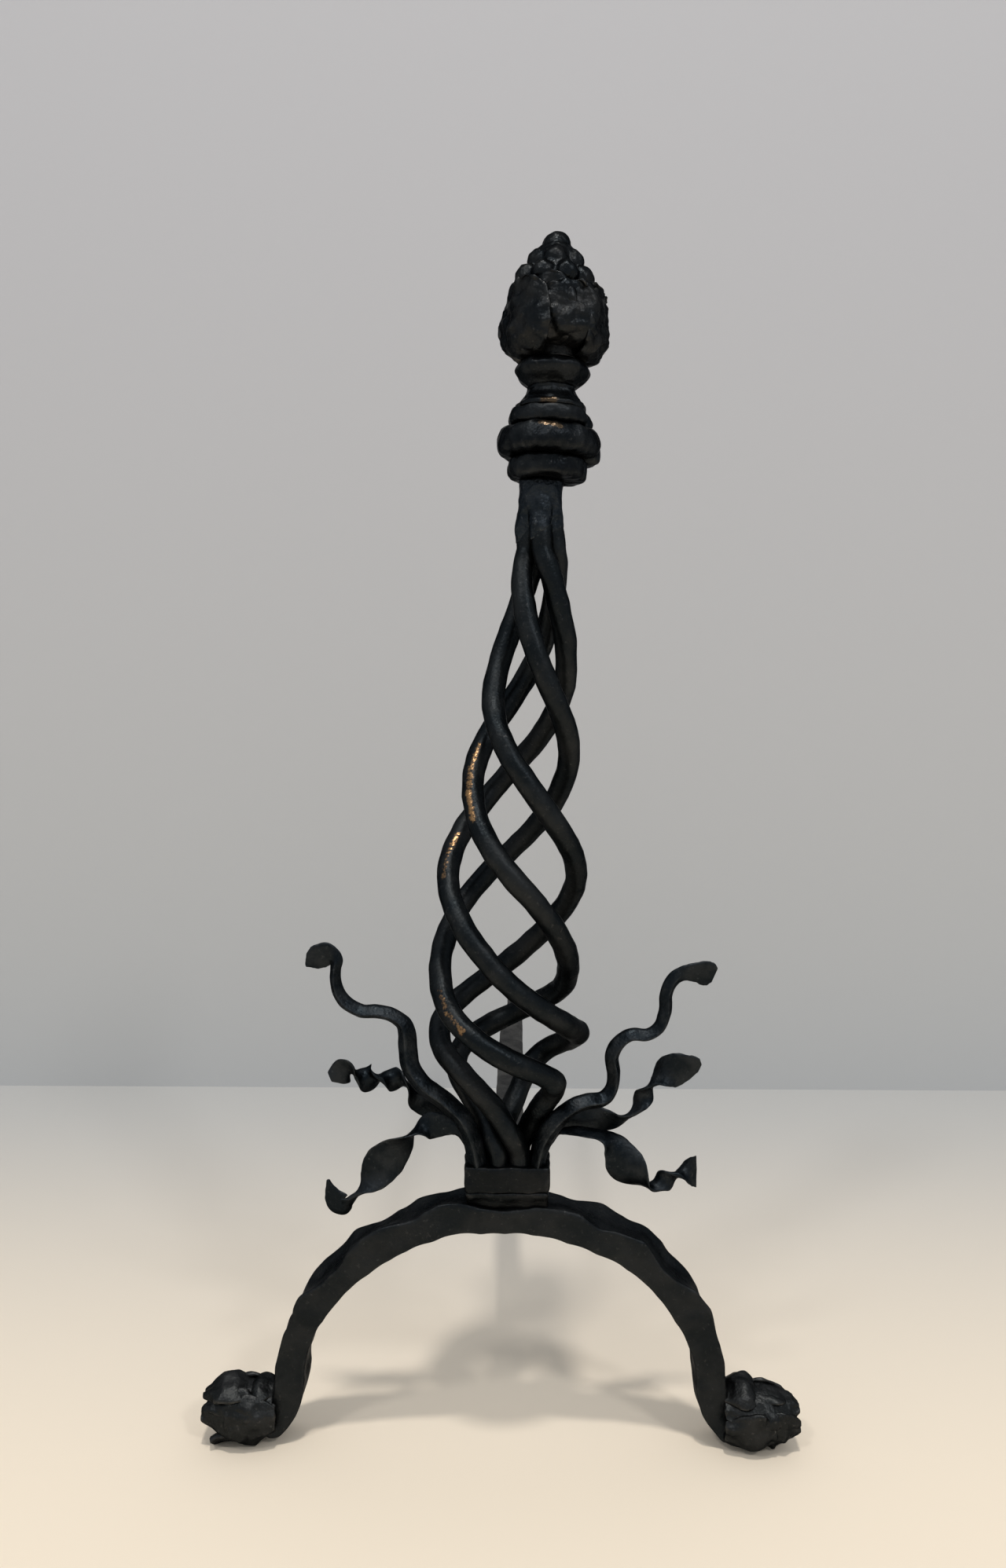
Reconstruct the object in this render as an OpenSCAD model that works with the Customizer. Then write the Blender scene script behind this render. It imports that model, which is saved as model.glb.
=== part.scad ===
// Forged andiron: an arched foot bar with rosette feet, a basket-twist post under a bud
// finial, curling leaf sprigs, and a square bar at the back that carries the logs.
// Millimetres, Z up. The front faces -Y and the floor is z = 0. The origin is on the floor,
// under the middle of the whole andiron, between its front and its rear leg.

/* [Arch] */
// Half of the gap between the legs, where they stand upright
arch_half_gap = 97.3; // [90:0.1:105]
// Height where the legs end and the arch's ellipse starts
arch_spring_z = 35; // [32:0.5:42]
// Rise of the arch's underside above the spring height
arch_rise = 75.7; // [65:0.1:85]
// Thickness of the bar at the legs, seen from the front
leg_t = 14.7; // [12:0.1:17]
// Thickness of the bar at its crown, under the seat block
crown_t = 13.3; // [11:0.1:16]
// Depth of the bar, front to back
arch_depth = 20; // [18:0.5:24]
// How far the hammered crests stand over the crown seat
crest_h = 2; // [1:0.1:3]
// Length of bar from one hammered crest to the next, in degrees of the ellipse
crest_pitch = 20; // [15:1:30]
// Depth of the hollow along the bar's outer side
hollow_depth = 1.6; // [0.8:0.1:2.5]
// Rim left on each side of the hollow
hollow_rim = 3; // [2:0.1:5]
// Radius of the inner edge where a leg turns outwards
toe_bend_r = 40; // [36:0.5:46]
// Angle through which a leg turns outwards
toe_turn = 45; // [38:1:48]

/* [Feet] */
// Radius of a rosette foot, which is also the height of its axis
foot_r = 15.9; // [15:0.1:18]
// Length of a rosette foot along its axis
foot_len = 36.5; // [35:0.5:42]
// How far the feet's axis stands in front of the arch's middle
foot_forward = 3.3; // [0:0.1:4]
// Gap between a leg's outer face and the rosette's first petals
foot_standoff = 2; // [1:0.1:4]
// Thickness of a foot petal in its middle
foot_petal_t = 3.2; // [2.6:0.1:3.6]
// How far a foot petal's high side stands over its low side, each way from the middle
foot_petal_lift = 1.8; // [1.5:0.1:2.1]
// Width of the flat sole under each foot
sole_w = 4.4; // [3:0.1:4.6]
// Length of the flat sole under each foot
sole_len = 16; // [10:0.5:18]

/* [Seat and collar] */
// Distance of the post's middle from the arch's middle, to the right
post_x = 3.5; // [-4:0.1:4]
// Height of the seat block on the arch
seat_h = 8.4; // [7.5:0.1:12]
// Width of the seat block
seat_w = 38; // [36:0.1:41]
// Radius of the seat block's round tenon through the arch
tenon_r = 6; // [4:0.1:7]
// Radius of the tenon's peened head
peen_r = 8.5; // [7.5:0.1:10]
// Thickness of the tenon's peened head
peen_t = 2; // [1:0.1:4]
// Height of the collar band
collar_h = 13; // [10:0.1:18]
// Wall thickness of the collar band
collar_t = 1.6; // [1.2:0.1:3]
// Width of the left sprig's bars where the collar holds them
left_root_w = 9.6; // [8:0.1:12]
// Width of the right sprig's bars where the collar holds them
right_root_w = 7.6; // [6:0.1:10]

/* [Basket twist] */
// Height of the basket above the collar
cage_h = 307; // [290:1:325]
// Widest radius from the basket's middle to the middle of a rod
cage_r = 34.5; // [32:0.1:37]
// Radius of a rod
rod_r = 5.45; // [4.8:0.05:5.6]
// Radius of a rod where the collar holds it
rod_root_r = 5.2; // [4.5:0.05:5.4]
// Radius of a rod where it is drawn down for the weld at the top
rod_weld_r = 4.9; // [4.3:0.05:5.1]
// Turn of the rods' bundle inside the collar, in degrees
root_turn = 675; // [675:90:675]

/* [Stem] */
// Length of the welded stem above the basket
stem_len = 29.8; // [25:0.1:40]
// Radius of the stem at its top
stem_top_r = 10.3; // [9:0.1:11]
// How far the stem leans to the right along its length
stem_drift = 1.2; // [0:0.1:2]

/* [Finial] */
// Lean of the finial to the right, in degrees
finial_lean = 2; // [0:0.1:4]
// Distance of the finial's axis from the stem's middle, to the right
finial_offset = 2.9; // [0:0.1:4]
// Radius of the pin that the rings and the bud are threaded on
pin_r = 5; // [4:0.1:5.5]
// Radius of the lower ring
lower_ring_r = 19.2; // [18:0.1:21]
// Thickness of the lower ring
lower_ring_t = 10.4; // [9:0.1:12]
// Radius of the big ring
big_ring_r = 25.1; // [23:0.1:28]
// Thickness of the big ring
big_ring_t = 14; // [12:0.1:16]
// Radius of the shoulder ring
shoulder_r = 19.8; // [18:0.1:21]
// Thickness of the shoulder ring
shoulder_t = 8.6; // [7:0.1:10]
// Radius of the neck's foot, on the shoulder ring
neck_foot_r = 16; // [14:0.1:17.5]
// Radius of the neck at its waist
neck_waist_r = 10.8; // [9:0.1:13]
// Height of the neck
neck_h = 11; // [9:0.1:14]
// Radius of the upper ring
upper_ring_r = 18.1; // [16:0.1:20]
// Thickness of the upper ring
upper_ring_t = 12; // [10:0.1:14]

/* [Bud] */
// Radius of the outer petals at their belly, in the middle of a petal
outer_petal_r = 25.2; // [24.4:0.1:28]
// Height of the outer petals
outer_petal_h = 35; // [32:0.5:36]
// Thickness of a bud petal in its middle
petal_t = 2.8; // [2.2:0.1:3]
// How far a bud petal's high side stands over its low side, each way from the middle
petal_lift = 1.5; // [1.3:0.1:1.8]
// Height of the inner petals
inner_petal_h = 35.5; // [34:0.5:37]
// Clearance between the bud's layers of petals, and between them and the core
petal_gap = 0.3; // [0.2:0.05:0.6]
// Radius of the ball at the very top
top_ball_r = 7; // [6:0.1:8]
// Radius of a berry
berry_r = 5.2; // [4.6:0.1:5.6]

/* [Log bar] */
// Side of the square bar
bar_t = 16; // [13:0.1:18]
// Distance from the collar's back to the rear face of the leg
bar_reach = 418; // [300:1:520]
// Inner radius of the bend down to the rear leg
bar_bend_r = 12; // [6:0.5:30]
// Width of the tongue that enters the seat block
tongue_w = 12; // [8:0.1:20]
// Height of the tongue
tongue_h = 4; // [3:0.1:4.5]
// Length of the tongue
tongue_len = 5; // [3:0.1:6]

/* [Sprigs] */
// How far the sprigs reach from the post's middle, to each side
sprig_reach = 100; // [95:1:115]
// Thickness of the twisted leaves
leaf_t = 2.4; // [1.6:0.1:3.5]
// Clearance between pieces that are bound or fitted together
fit_gap = 0.15; // [0.1:0.01:0.25]

/* [Hidden] */

$fn = 48;
black_iron = [0.13, 0.14, 0.14];
rod_iron = [0.16, 0.15, 0.14];
bud_iron = [0.17, 0.15, 0.14];
bar_iron = [0.30, 0.31, 0.31];

// Heights that follow from the sizes above
seat_z = arch_spring_z + arch_rise + crown_t;
collar_z = seat_z + seat_h;
post_z = collar_z + collar_h;
weld_z = post_z + cage_h;

// The collar's inside holds the left bars, the four rods in a square, and the right bars
bundle_w = 4 * rod_root_r + fit_gap;
collar_in_w = left_root_w + bundle_w + right_root_w + 4 * fit_gap;
collar_in_d = bundle_w + 2 * fit_gap;
collar_d = collar_in_d + 2 * collar_t;
root_d = (collar_in_d - 4 * fit_gap) / 3;
left_root_x = -collar_in_w / 2 + fit_gap + left_root_w / 2;
right_root_x = collar_in_w / 2 - fit_gap - right_root_w / 2;
bundle_x = left_root_x + left_root_w / 2 + fit_gap + bundle_w / 2;
bundle_r = sqrt(2) * (rod_root_r + fit_gap / 2);
weld_bundle_r = sqrt(2) * (rod_weld_r + fit_gap / 2) + 0.1;

// Stations of the basket, bottom to top: share of its height, share of its radius, turn in
// degrees, and drift of its middle to the right as a share of its radius
cage_stations = [
    [0.02, 0.22, 670, 0.03],
    [0.045, 0.27, 645, 0.03],
    [0.085, 0.41, 615, 0.04],
    [0.15, 0.84, 590, 0.04],
    [0.215, 1.02, 525, -0.09],
    [0.31, 0.93, 450, -0.045],
    [0.47, 0.93, 365, 0.07],
    [0.61, 0.715, 290, 0.19],
    [0.785, 0.51, 190, 0.35],
    [0.94, 0.3, 125, 0.455],
    [0.985, 0.215, 93, 0.485]
];
weld_turn = 90;
weld_drift = 0.485 * cage_r;
// Where each rod strays from an even quarter turn, in degrees
rod_stray = [-6, 12, 8, 1];
stray_run = cage_h * 0.195;
// How far each rod swells outwards, as a share of the basket's radius, and how many degrees it
// runs ahead, just above the collar
rod_swell = [-0.13, 0.03, 0.1, 0.1];
rod_lead = [-20, -18, 3, 8];
swell_start = cage_h * 0.026;
swell_h = cage_h * 0.13;
swell_run = cage_h * 0.072;
// Lengths over which a rod reaches its full thickness, at its root and at its weld
root_taper = cage_h * 0.065;
weld_taper = cage_h * 0.098;
rod_steps = 6;
rod_sides = 10;
cage_rows = concat(
    [[0, bundle_r, root_turn, bundle_x]],
    [for (s = cage_stations) [s[0] * cage_h, s[1] * cage_r, s[2], s[3] * cage_r]],
    [[cage_h, weld_bundle_r, weld_turn, weld_drift]]
);

// The ellipse's outer side, and the arch's toes
outer_rise = arch_rise + crown_t;
outer_half = arch_half_gap + leg_t;
toe_x = arch_half_gap + toe_bend_r;
foot_x = outer_half + foot_standoff;
tenon_len = crown_t + 1;

bar_y = collar_d / 2;
bar_back_y = bar_y + bar_reach;
bar_bottom_z = seat_z;

stem_x = post_x + weld_drift;
finial_x = stem_x + stem_drift + finial_offset;
finial_z = weld_z + stem_len;
lower_ring_z = 0;
big_ring_z = lower_ring_z + lower_ring_t;
shoulder_z = big_ring_z + big_ring_t;
neck_z = shoulder_z + shoulder_t;
upper_ring_z = neck_z + neck_h;
bud_z = upper_ring_z + upper_ring_t;
pin_in_bud = 6;

// ---- Shapes from rows of numbers

function unit(v) = v / norm(v);

function between(a, b, c, d, t) =
    0.5 * (2 * b + (c - a) * t + (2 * a - 5 * b + 4 * c - d) * t * t + (3 * b - a - 3 * c + d) * t * t * t);

// A smooth line through rows of numbers, with so many steps from each row to the next
function smooth(rows, steps) = let (last = len(rows) - 1) [
    for (i = [0:last - 1], s = [0:steps - 1])
        between(rows[max(i - 1, 0)], rows[i], rows[i + 1], rows[min(i + 2, last)], s / steps),
    rows[last]
];

function ease(t) = let (c = min(max(t, 0), 1)) c * c * (3 - 2 * c);

function heading(path, i) = unit(path[min(i + 1, len(path) - 1)] - path[max(i - 1, 0)]);

// Sideways directions that follow a path without spinning about it
function carried(path, side, i = 0, out = []) = i == len(path) ? out :
    let (t = heading(path, i), s = unit(side - t * (side * t)))
    carried(path, s, i + 1, concat(out, [s]));

// Closes rings of as many points each into one solid
module skin(rings) {
    n = len(rings[0]);
    m = len(rings);
    sides = [for (i = [0:m - 2], j = [0:n - 1])
        let (a = i * n + j, b = i * n + (j + 1) % n) each [[a, a + n, b], [b, a + n, b + n]]];
    low = [for (j = [0:n / 2 - 2]) each [[j, j + 1, n - 1 - j], [j + 1, n - 2 - j, n - 1 - j]]];
    top = (m - 1) * n;
    high = [for (j = [0:n / 2 - 2])
        each [[top + j, top + n - 1 - j, top + j + 1], [top + j + 1, top + n - 1 - j, top + n - 2 - j]]];
    polyhedron(points = [for (r = rings) each r], faces = concat(sides, low, high));
}

// A forged bar along rows of x, y, z, width, thickness and twist; its width starts along X
// with a straight root below the first row
module forged(root, rows, steps) {
    fine = concat([root], smooth(rows, steps));
    path = [for (r = fine) [r.x, r.y, r.z]];
    side = carried(path, [1, 0, 0]);
    skin([for (i = [0:len(path) - 1])
        let (
            t = i <= 1 ? [0, 0, 1] : heading(path, i),
            a = cos(fine[i][5]) * side[i] + sin(fine[i][5]) * cross(t, side[i]),
            b = cross(t, a),
            w = fine[i][3] / 2,
            d = fine[i][4] / 2,
            c = min(w, d) * 0.5
        )
        [for (p = [[w, -d + c], [w, d - c], [w - c, d], [-w + c, d],
                   [-w, d - c], [-w, -d + c], [-w + c, -d], [w - c, -d]])
            path[i] + p.x * a + p.y * b]]);
}

// A petal on a round bud: rows of radius, height, half angle and thickness, root to tip.
// Its one side edge stands higher than the other, so neighbours overlap like tiles.
module petal(rows, lift, steps = 2, across = 6) {
    fine = smooth(rows, steps);
    line = [for (r = fine) [r[0], r[1]]];
    skin([for (i = [0:len(fine) - 1])
        let (
            t = heading(line, i),
            outer = [for (k = [0:across]) let (u = 2 * k / across - 1, a = u * fine[i][2])
                [fine[i][0] + u * lift, a, fine[i][1], fine[i][3] * (1 - 0.45 * u * u)]],
            inner = [for (k = [across:-1:0]) let (p = outer[k])
                [p[0] - t.y * p[3], p[1], p[2] + t.x * p[3]]]
        )
        [for (p = concat(outer, inner)) [p[0] * cos(p[1]), p[0] * sin(p[1]), p[2]]]]);
}

// ---- Places

// The whole andiron is moved back so that the origin is under its middle
front_y = min([for (k = [0:3], row = smooth(cage_rows, rod_steps)) rod_point(row, k).y]) - rod_r;
module at_middle() translate([0, -(front_y + bar_back_y) / 2, 0]) children();
module at_post() at_middle() translate([post_x, 0, post_z]) children();
module at_foot(side) at_middle() translate([side * foot_x, -foot_forward, foot_r])
    rotate([0, side * 90, 0]) children();
module at_finial(z) at_middle() translate([finial_x, 0, finial_z]) rotate([0, finial_lean, 0])
    translate([0, 0, z]) children();

// ---- Arch and feet

function toe_arc(r, side, from, to, step) =
    [for (a = [from:step:to]) [side * (toe_x - r * cos(a)), arch_spring_z - r * sin(a)]];

// The bar's front view, grown all round by g; crest adds the hammered crests
function arch_outline(g, crest, cut = 0) = concat(
    toe_arc(toe_bend_r + g, -1, toe_turn, 5, -5),
    [for (a = [180:-4:0])
        [(arch_half_gap - g) * cos(a), arch_spring_z + (arch_rise - g) * sin(a)]],
    toe_arc(toe_bend_r + g, 1, 5, toe_turn, 5),
    toe_arc(toe_bend_r - leg_t - g, 1, toe_turn, 5, -5),
    [for (a = [0:2:180])
        let (
            wave = 0.5 + 0.5 * cos(360 * (a - 90) / crest_pitch + 180),
            h = g - cut + crest * wave * sin(a)
        )
        [(outer_half + h) * cos(a), arch_spring_z + (outer_rise + h) * sin(a)]],
    toe_arc(toe_bend_r - leg_t - g, -1, 5, toe_turn, 5)
);

module arch_slab(depth, g, crest, cut = 0)
    translate([0, depth / 2, 0]) rotate([90, 0, 0])
        linear_extrude(depth) polygon(arch_outline(g, crest, cut));

module arch_bar() color(black_iron) at_middle() difference() {
    arch_slab(arch_depth, 0, crest_h);
    difference() {
        arch_slab(arch_depth - 2 * hollow_rim, 0.5, crest_h);
        arch_slab(arch_depth, 0.6, 0, hollow_depth + 0.6);
        translate([0, 0, arch_spring_z / 2])
            cube([4 * outer_half, 2 * arch_depth, arch_spring_z], center = true);
    }
    translate([post_x - seat_w / 2 - fit_gap, -arch_depth, seat_z])
        cube([seat_w + 2 * fit_gap, 2 * arch_depth, 4 * crest_h]);
    translate([post_x, 0, arch_spring_z]) cylinder(r = tenon_r + fit_gap, h = 2 * arch_rise);
}

// Half angle and spread of the five petals of a foot; a gap is left underneath for the sole
foot_petal_half = 37;
foot_petal_step = 65;
foot_petal_mid_r = foot_r - foot_petal_lift;
foot_petal_rows = [
    [foot_petal_mid_r * 0.5, 0, 30, foot_petal_t * 0.8],
    [foot_petal_mid_r * 0.88, foot_len * 0.08, 35, foot_petal_t],
    [foot_petal_mid_r, foot_len * 0.3, foot_petal_half, foot_petal_t],
    [foot_petal_mid_r, foot_len * 0.55, foot_petal_half, foot_petal_t],
    [foot_petal_mid_r * 0.97, foot_len * 0.78, 32, foot_petal_t * 0.95],
    [foot_petal_mid_r * 0.95, foot_len * 0.93, 20, foot_petal_t * 0.85],
    [foot_petal_mid_r * 0.94, foot_len, 5, foot_petal_t * 0.6]
];
foot_core_r = foot_petal_mid_r - foot_petal_lift - foot_petal_t * 0.55 - 0.6;
foot_core_line = smooth([
    [4.4, 0.6], [5, foot_len * 0.12], [foot_core_r * 0.9, foot_len * 0.24],
    [foot_core_r, foot_len * 0.36], [foot_core_r, foot_len * 0.55],
    [foot_core_r * 0.85, foot_len * 0.72], [foot_core_r * 0.5, foot_len * 0.83],
    [0.8, foot_len * 0.86]
], 3);

module foot_core(side) color(black_iron) difference() {
    union() {
        at_foot(side) rotate_extrude() polygon(concat([[0, 0.6]], foot_core_line, [[0, foot_len * 0.86]]));
        at_middle() translate([side * (foot_x + foot_len * 0.45), -foot_forward, foot_r / 2])
            cube([sole_len, sole_w, foot_r], center = true);
    }
    at_middle() arch_slab(arch_depth + 2 * fit_gap, fit_gap, 0);
}

// Petal 1 is at the front underneath, 3 on top and 5 at the back underneath
module foot_petal(side, i) color(black_iron) difference() {
    at_foot(side) rotate([0, 0, (side > 0 ? 180 : 0) + side * (3 - i) * foot_petal_step])
        petal(foot_petal_rows, foot_petal_lift);
    at_middle() {
        arch_slab(arch_depth + 2 * fit_gap, fit_gap, 0);
        translate([side * foot_x - 2 * foot_len, -2 * foot_r, -2 * foot_r])
            cube([4 * foot_len, 4 * foot_r, 2 * foot_r]);
    }
}

// ---- Seat, collar and log bar

module seat_block() color(black_iron) at_middle() translate([post_x, 0, 0]) {
    difference() {
        translate([-seat_w / 2, -collar_d / 2, seat_z]) cube([seat_w, collar_d, seat_h]);
        translate([0, collar_d / 2 - fit_gap, bar_bottom_z + seat_h / 2])
            cube([tongue_w + 2 * fit_gap, 2 * tongue_len, tongue_h + 2 * fit_gap], center = true);
    }
    translate([0, 0, peen_z - peen_t / 2]) cylinder(r = tenon_r, h = seat_z - peen_z + peen_t);
    translate([0, 0, peen_z - peen_t]) cylinder(r1 = tenon_r, r2 = peen_r, h = peen_t);
}
// Where the peened head clears the arch's curved underside
peen_z = arch_spring_z + arch_rise * sqrt(1 - pow((abs(post_x) + peen_r) / arch_half_gap, 2)) - 0.05;

module collar() color(black_iron) at_middle() translate([post_x, 0, collar_z]) linear_extrude(collar_h)
    difference() {
        square([collar_in_w + 2 * collar_t, collar_d], center = true);
        square([collar_in_w, collar_in_d], center = true);
    }

module log_bar() color(bar_iron) at_middle() translate([post_x, 0, 0]) {
    translate([-bar_t / 2, 0, 0]) rotate([90, 0, 90]) linear_extrude(bar_t) {
        translate([bar_y, bar_bottom_z]) square([bar_reach - bar_t - bar_bend_r, bar_t]);
        translate([bar_back_y - bar_t, 0]) square([bar_t, bar_bottom_z - bar_bend_r]);
        translate([bar_back_y - bar_t - bar_bend_r, bar_bottom_z - bar_bend_r]) intersection() {
            difference() {
                circle(bar_bend_r + bar_t);
                circle(bar_bend_r);
            }
            square(bar_bend_r + bar_t);
        }
    }
    translate([-tongue_w / 2, bar_y - tongue_len, bar_bottom_z + seat_h / 2 - tongue_h / 2])
        cube([tongue_w, tongue_len + 1, tongue_h]);
}

// ---- Basket twist

function rod_thickness(h) =
    rod_root_r + (rod_r - rod_root_r) * ease(h / root_taper)
        + (rod_weld_r - rod_r) * ease((h - cage_h + weld_taper) / weld_taper);

function rod_point(row, k) = let (
        stray = rod_stray[k] * ease(row[0] / stray_run) * ease((cage_h - row[0]) / stray_run),
        swell = exp(-pow((row[0] - swell_h) / swell_run, 2)) * ease((row[0] - swell_start) / swell_run),
        r = row[1] + rod_swell[k] * cage_r * swell,
        a = row[2] + 90 * k + stray + rod_lead[k] * swell
    ) [row[3] + r * cos(a), r * sin(a), row[0]];

module cage_rod(k) color(rod_iron) at_post() {
    rows = smooth(cage_rows, rod_steps);
    root = [-collar_h, bundle_r, root_turn, bundle_x];
    path = [for (r = concat([root], rows)) rod_point(r, k)];
    side = carried(path, [1, 0, 0]);
    last = len(path) - 1;
    skin([for (i = [0:last])
        let (
            t = i <= 1 || i == last ? [0, 0, 1] : heading(path, i),
            a = unit(side[i] - t * (side[i] * t)),
            b = cross(t, a),
            r = rod_thickness(path[i].z)
        )
        [for (j = [0:rod_sides - 1]) let (q = 360 * (j + 0.5) / rod_sides)
            path[i] + r * cos(q) * a + r * sin(q) * b]]);
}

// ---- Sprigs: rows of x, y, z, width, thickness and twist, from the middle of the collar's top.
// Lengths are in hundredths of the sprigs' reach, and a thickness of 0 means leaf_t.

front_root_y = -root_d - fit_gap;
rear_root_y = root_d + fit_gap;
function root_row(x, y, z, w) = [x, y, z, w, root_d, 0];

left_tendril_rows = [
    [-17.5, -8.5, 14, 9.5, 7, 0], [-22, -9.5, 24, 9.5, 7, 0], [-31, -10, 33, 9.5, 7, 0],
    [-41, -10, 40.5, 9.5, 7, 0], [-47.5, -9, 49.5, 9.5, 6.5, 0], [-49, -8, 58, 9.5, 6.5, 0],
    [-49.5, -8, 66, 9, 6.5, 0], [-51.5, -8, 71.5, 8, 6, 0], [-57.5, -8, 75.5, 7, 6, 0],
    [-64.5, -8, 77, 6.5, 6, 0], [-71.5, -8, 77, 6.5, 6, 0], [-78.5, -8, 80.5, 6.5, 6, 0],
    [-82.5, -8, 85.5, 6, 5.5, 0], [-84.5, -8, 92, 6, 5, 0], [-84.5, -8, 98.5, 5.5, 4, 0],
    [-84, -8, 103.5, 6.5, 3, 0], [-87.5, -8, 107, 9, 2.5, 0], [-92, -8, 104.5, 13, 2.2, 0],
    [-96, -8, 102.5, 10, 2, 0], [-99, -8, 101.5, 2.5, 1.6, 0]
];
left_lower_leaf_rows = [
    [-18, 0, 10, 9, 6, 0], [-22, -1, 15.5, 9, 4.5, 0], [-28, -2, 18, 10, 3.2, 10],
    [-37.5, -3, 18, 14, 0, 10], [-45, -4, 16, 9, 0, 90], [-52.5, -4, 9, 18, 0, 150],
    [-60.5, -4, 0.5, 20.5, 0, 180], [-68, -4, -9, 15, 0, 215], [-73.5, -4, -15.5, 8, 0, 270],
    [-79, -4, -18.5, 14, 0, 335], [-84.5, -4, -19, 20, 0, 360]
];
left_upper_leaf_rows = [
    [-17.5, 8.5, 11, 8.5, 6, 0], [-22, 8.5, 18.5, 8.5, 4.5, 0], [-32, 7.5, 25.5, 10, 3, 0],
    [-42, 6, 32, 11, 0, 20], [-50, 6, 37.5, 10, 0, 90], [-57.5, 6, 39, 12, 0, 180],
    [-64.5, 6, 40.5, 8, 0, 270], [-71.5, 6, 40, 13, 0, 360], [-77.5, 6, 41.5, 8, 0, 450],
    [-83.5, 6, 42, 12, 0, 530], [-89, 6, 41, 9, 0, 560]
];
right_tendril_rows = [
    [18.5, -9, 13, 9, 7, 0], [23, -12.5, 22, 9.5, 7, 0], [30.5, -14, 30, 8.5, 6.5, 0],
    [39, -12.5, 33.5, 8, 6.5, 0], [47.5, -10, 34, 7.5, 6, 0], [52, -9, 39, 6.5, 6, 0],
    [53, -9, 47, 6.5, 6, 0], [52, -9, 55, 7, 6, 0], [55, -9, 61.5, 7, 6, 0],
    [61, -9, 66, 6.5, 6, 0], [69.5, -9, 66, 6.5, 5.5, 0], [75.5, -9, 70.5, 6.5, 5.5, 0],
    [78, -9, 78, 6.5, 5, 0], [78.5, -9, 86.5, 6.5, 4.5, 0], [81.5, -9, 93.5, 7, 4, 0],
    [86.5, -9, 97, 8, 3, 0], [93, -9, 97.5, 10.5, 2.5, 0], [99, -9, 97.5, 14, 2.2, 0],
    [103.5, -9, 96.5, 9, 2, 0]
];
right_lower_leaf_rows = [
    [18.5, 0, 8.5, 7.5, 6, 0], [23.5, 0, 13, 7.5, 4, 50], [30, -1, 15, 9, 0, 88],
    [39, -3, 15, 10, 0, 92], [49, -4, 13, 11, 0, 100], [54, -4, 7.5, 15, 0, 140],
    [60, -4, -2, 19, 0, 180], [67, -4, -9.5, 14, 0, 220], [73, -4, -12, 8, 0, 270],
    [79.5, -4, -9.5, 9, 0, 360], [85.5, -4, -5, 7, 0, 450], [91, -4, -4.5, 12, 0, 530],
    [95, -4, -4.5, 16, 0, 545]
];
right_upper_leaf_rows = [
    [19.5, 8, 10, 7.5, 6, 0], [24.5, 8, 15.5, 8, 4.5, 0], [31, 7, 19.5, 9, 3.2, 0],
    [39, 6, 20.5, 10, 0, 0], [49, 6, 18.5, 11, 0, 15], [57, 6, 18, 10, 0, 40],
    [64.5, 6, 22.5, 8, 0, 90], [69.5, 6, 30.5, 10, 0, 180], [74.5, 6, 37.5, 8, 0, 270],
    [79.5, 6, 41, 14, 0, 330], [85, 6, 43.5, 16.5, 0, 360], [92, 6, 46, 12, 0, 370],
    [99, 6, 48.5, 3, 0, 380]
];

module sprig(x, y, w, rows, steps) color(black_iron) at_post() forged(
    root_row(x, y, -collar_h, w),
    concat(
        [root_row(x, y, 0, w), root_row(x * 1.07, y * 1.06, collar_h * 0.4, w * 0.98)],
        [for (r = rows) let (k = sprig_reach / 100)
            [r.x * k, r.y * k, r.z * k, r[3] * k, r[4] == 0 ? leaf_t : r[4] * k, r[5]]]
    ),
    steps
);

// ---- Stem and finial

// The rods' four tops make a cross of lobes, which the stem rounds off on its way up
module stem() color(black_iron) at_middle() {
    levels = 8;
    round_sides = 32;
    skin([for (i = [0:levels])
        let (
            t = i / levels,
            tilt = finial_lean * t,
            centre = [stem_x + stem_drift * t, 0, weld_z + stem_len * t]
        )
        [for (j = [0:round_sides - 1])
            let (
                a = 360 * j / round_sides,
                off = (a + 45) % 90 - 45,
                lobe = weld_bundle_r * cos(off)
                    + sqrt(max(0, pow(rod_weld_r, 2) - pow(weld_bundle_r * sin(off), 2))),
                r = lobe + (stem_top_r - lobe) * ease(t * 1.4)
            )
            centre + [r * cos(a) * cos(tilt), r * sin(a), -r * cos(a) * sin(tilt)]]]);
}

module finial_pin() color(black_iron) at_finial(0) cylinder(r = pin_r, h = bud_z + pin_in_bud);

// A ring with a rounded rim, bored for the pin
module round_ring(r, t) rotate_extrude() {
    translate([pin_r + fit_gap, 0]) square([r - t / 2 - pin_r - fit_gap, t]);
    translate([r - t / 2, t / 2]) intersection() {
        circle(t / 2);
        translate([0, -t / 2]) square([t, t]);
    }
}

module lower_ring() color(black_iron) at_finial(lower_ring_z) round_ring(lower_ring_r, lower_ring_t);
module big_ring() color(black_iron) at_finial(big_ring_z) round_ring(big_ring_r, big_ring_t);
module shoulder_ring() color(black_iron) at_finial(shoulder_z) round_ring(shoulder_r, shoulder_t);

module neck() color(black_iron) at_finial(neck_z) rotate_extrude() polygon(concat(
    [[pin_r + fit_gap, 0]],
    smooth([[neck_foot_r - 0.6, 0], [neck_foot_r, neck_h * 0.12], [neck_foot_r * 0.9, neck_h * 0.35],
            [(neck_foot_r + neck_waist_r) / 2 - 0.4, neck_h * 0.65], [neck_waist_r, neck_h]], 3),
    [[pin_r + fit_gap, neck_h]]
));

module upper_ring() color(black_iron) at_finial(upper_ring_z) rotate_extrude() polygon(concat(
    [[pin_r + fit_gap, 0]],
    smooth([[neck_waist_r, 0], [neck_waist_r + 1.6, upper_ring_t * 0.12],
            [upper_ring_r - 1.6, upper_ring_t * 0.38], [upper_ring_r, upper_ring_t * 0.58],
            [upper_ring_r - 1.2, upper_ring_t * 0.8], [upper_ring_r - 5, upper_ring_t]], 3),
    [[pin_r + fit_gap, upper_ring_t]]
));

// ---- Bud

petal_count = 5;
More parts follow.
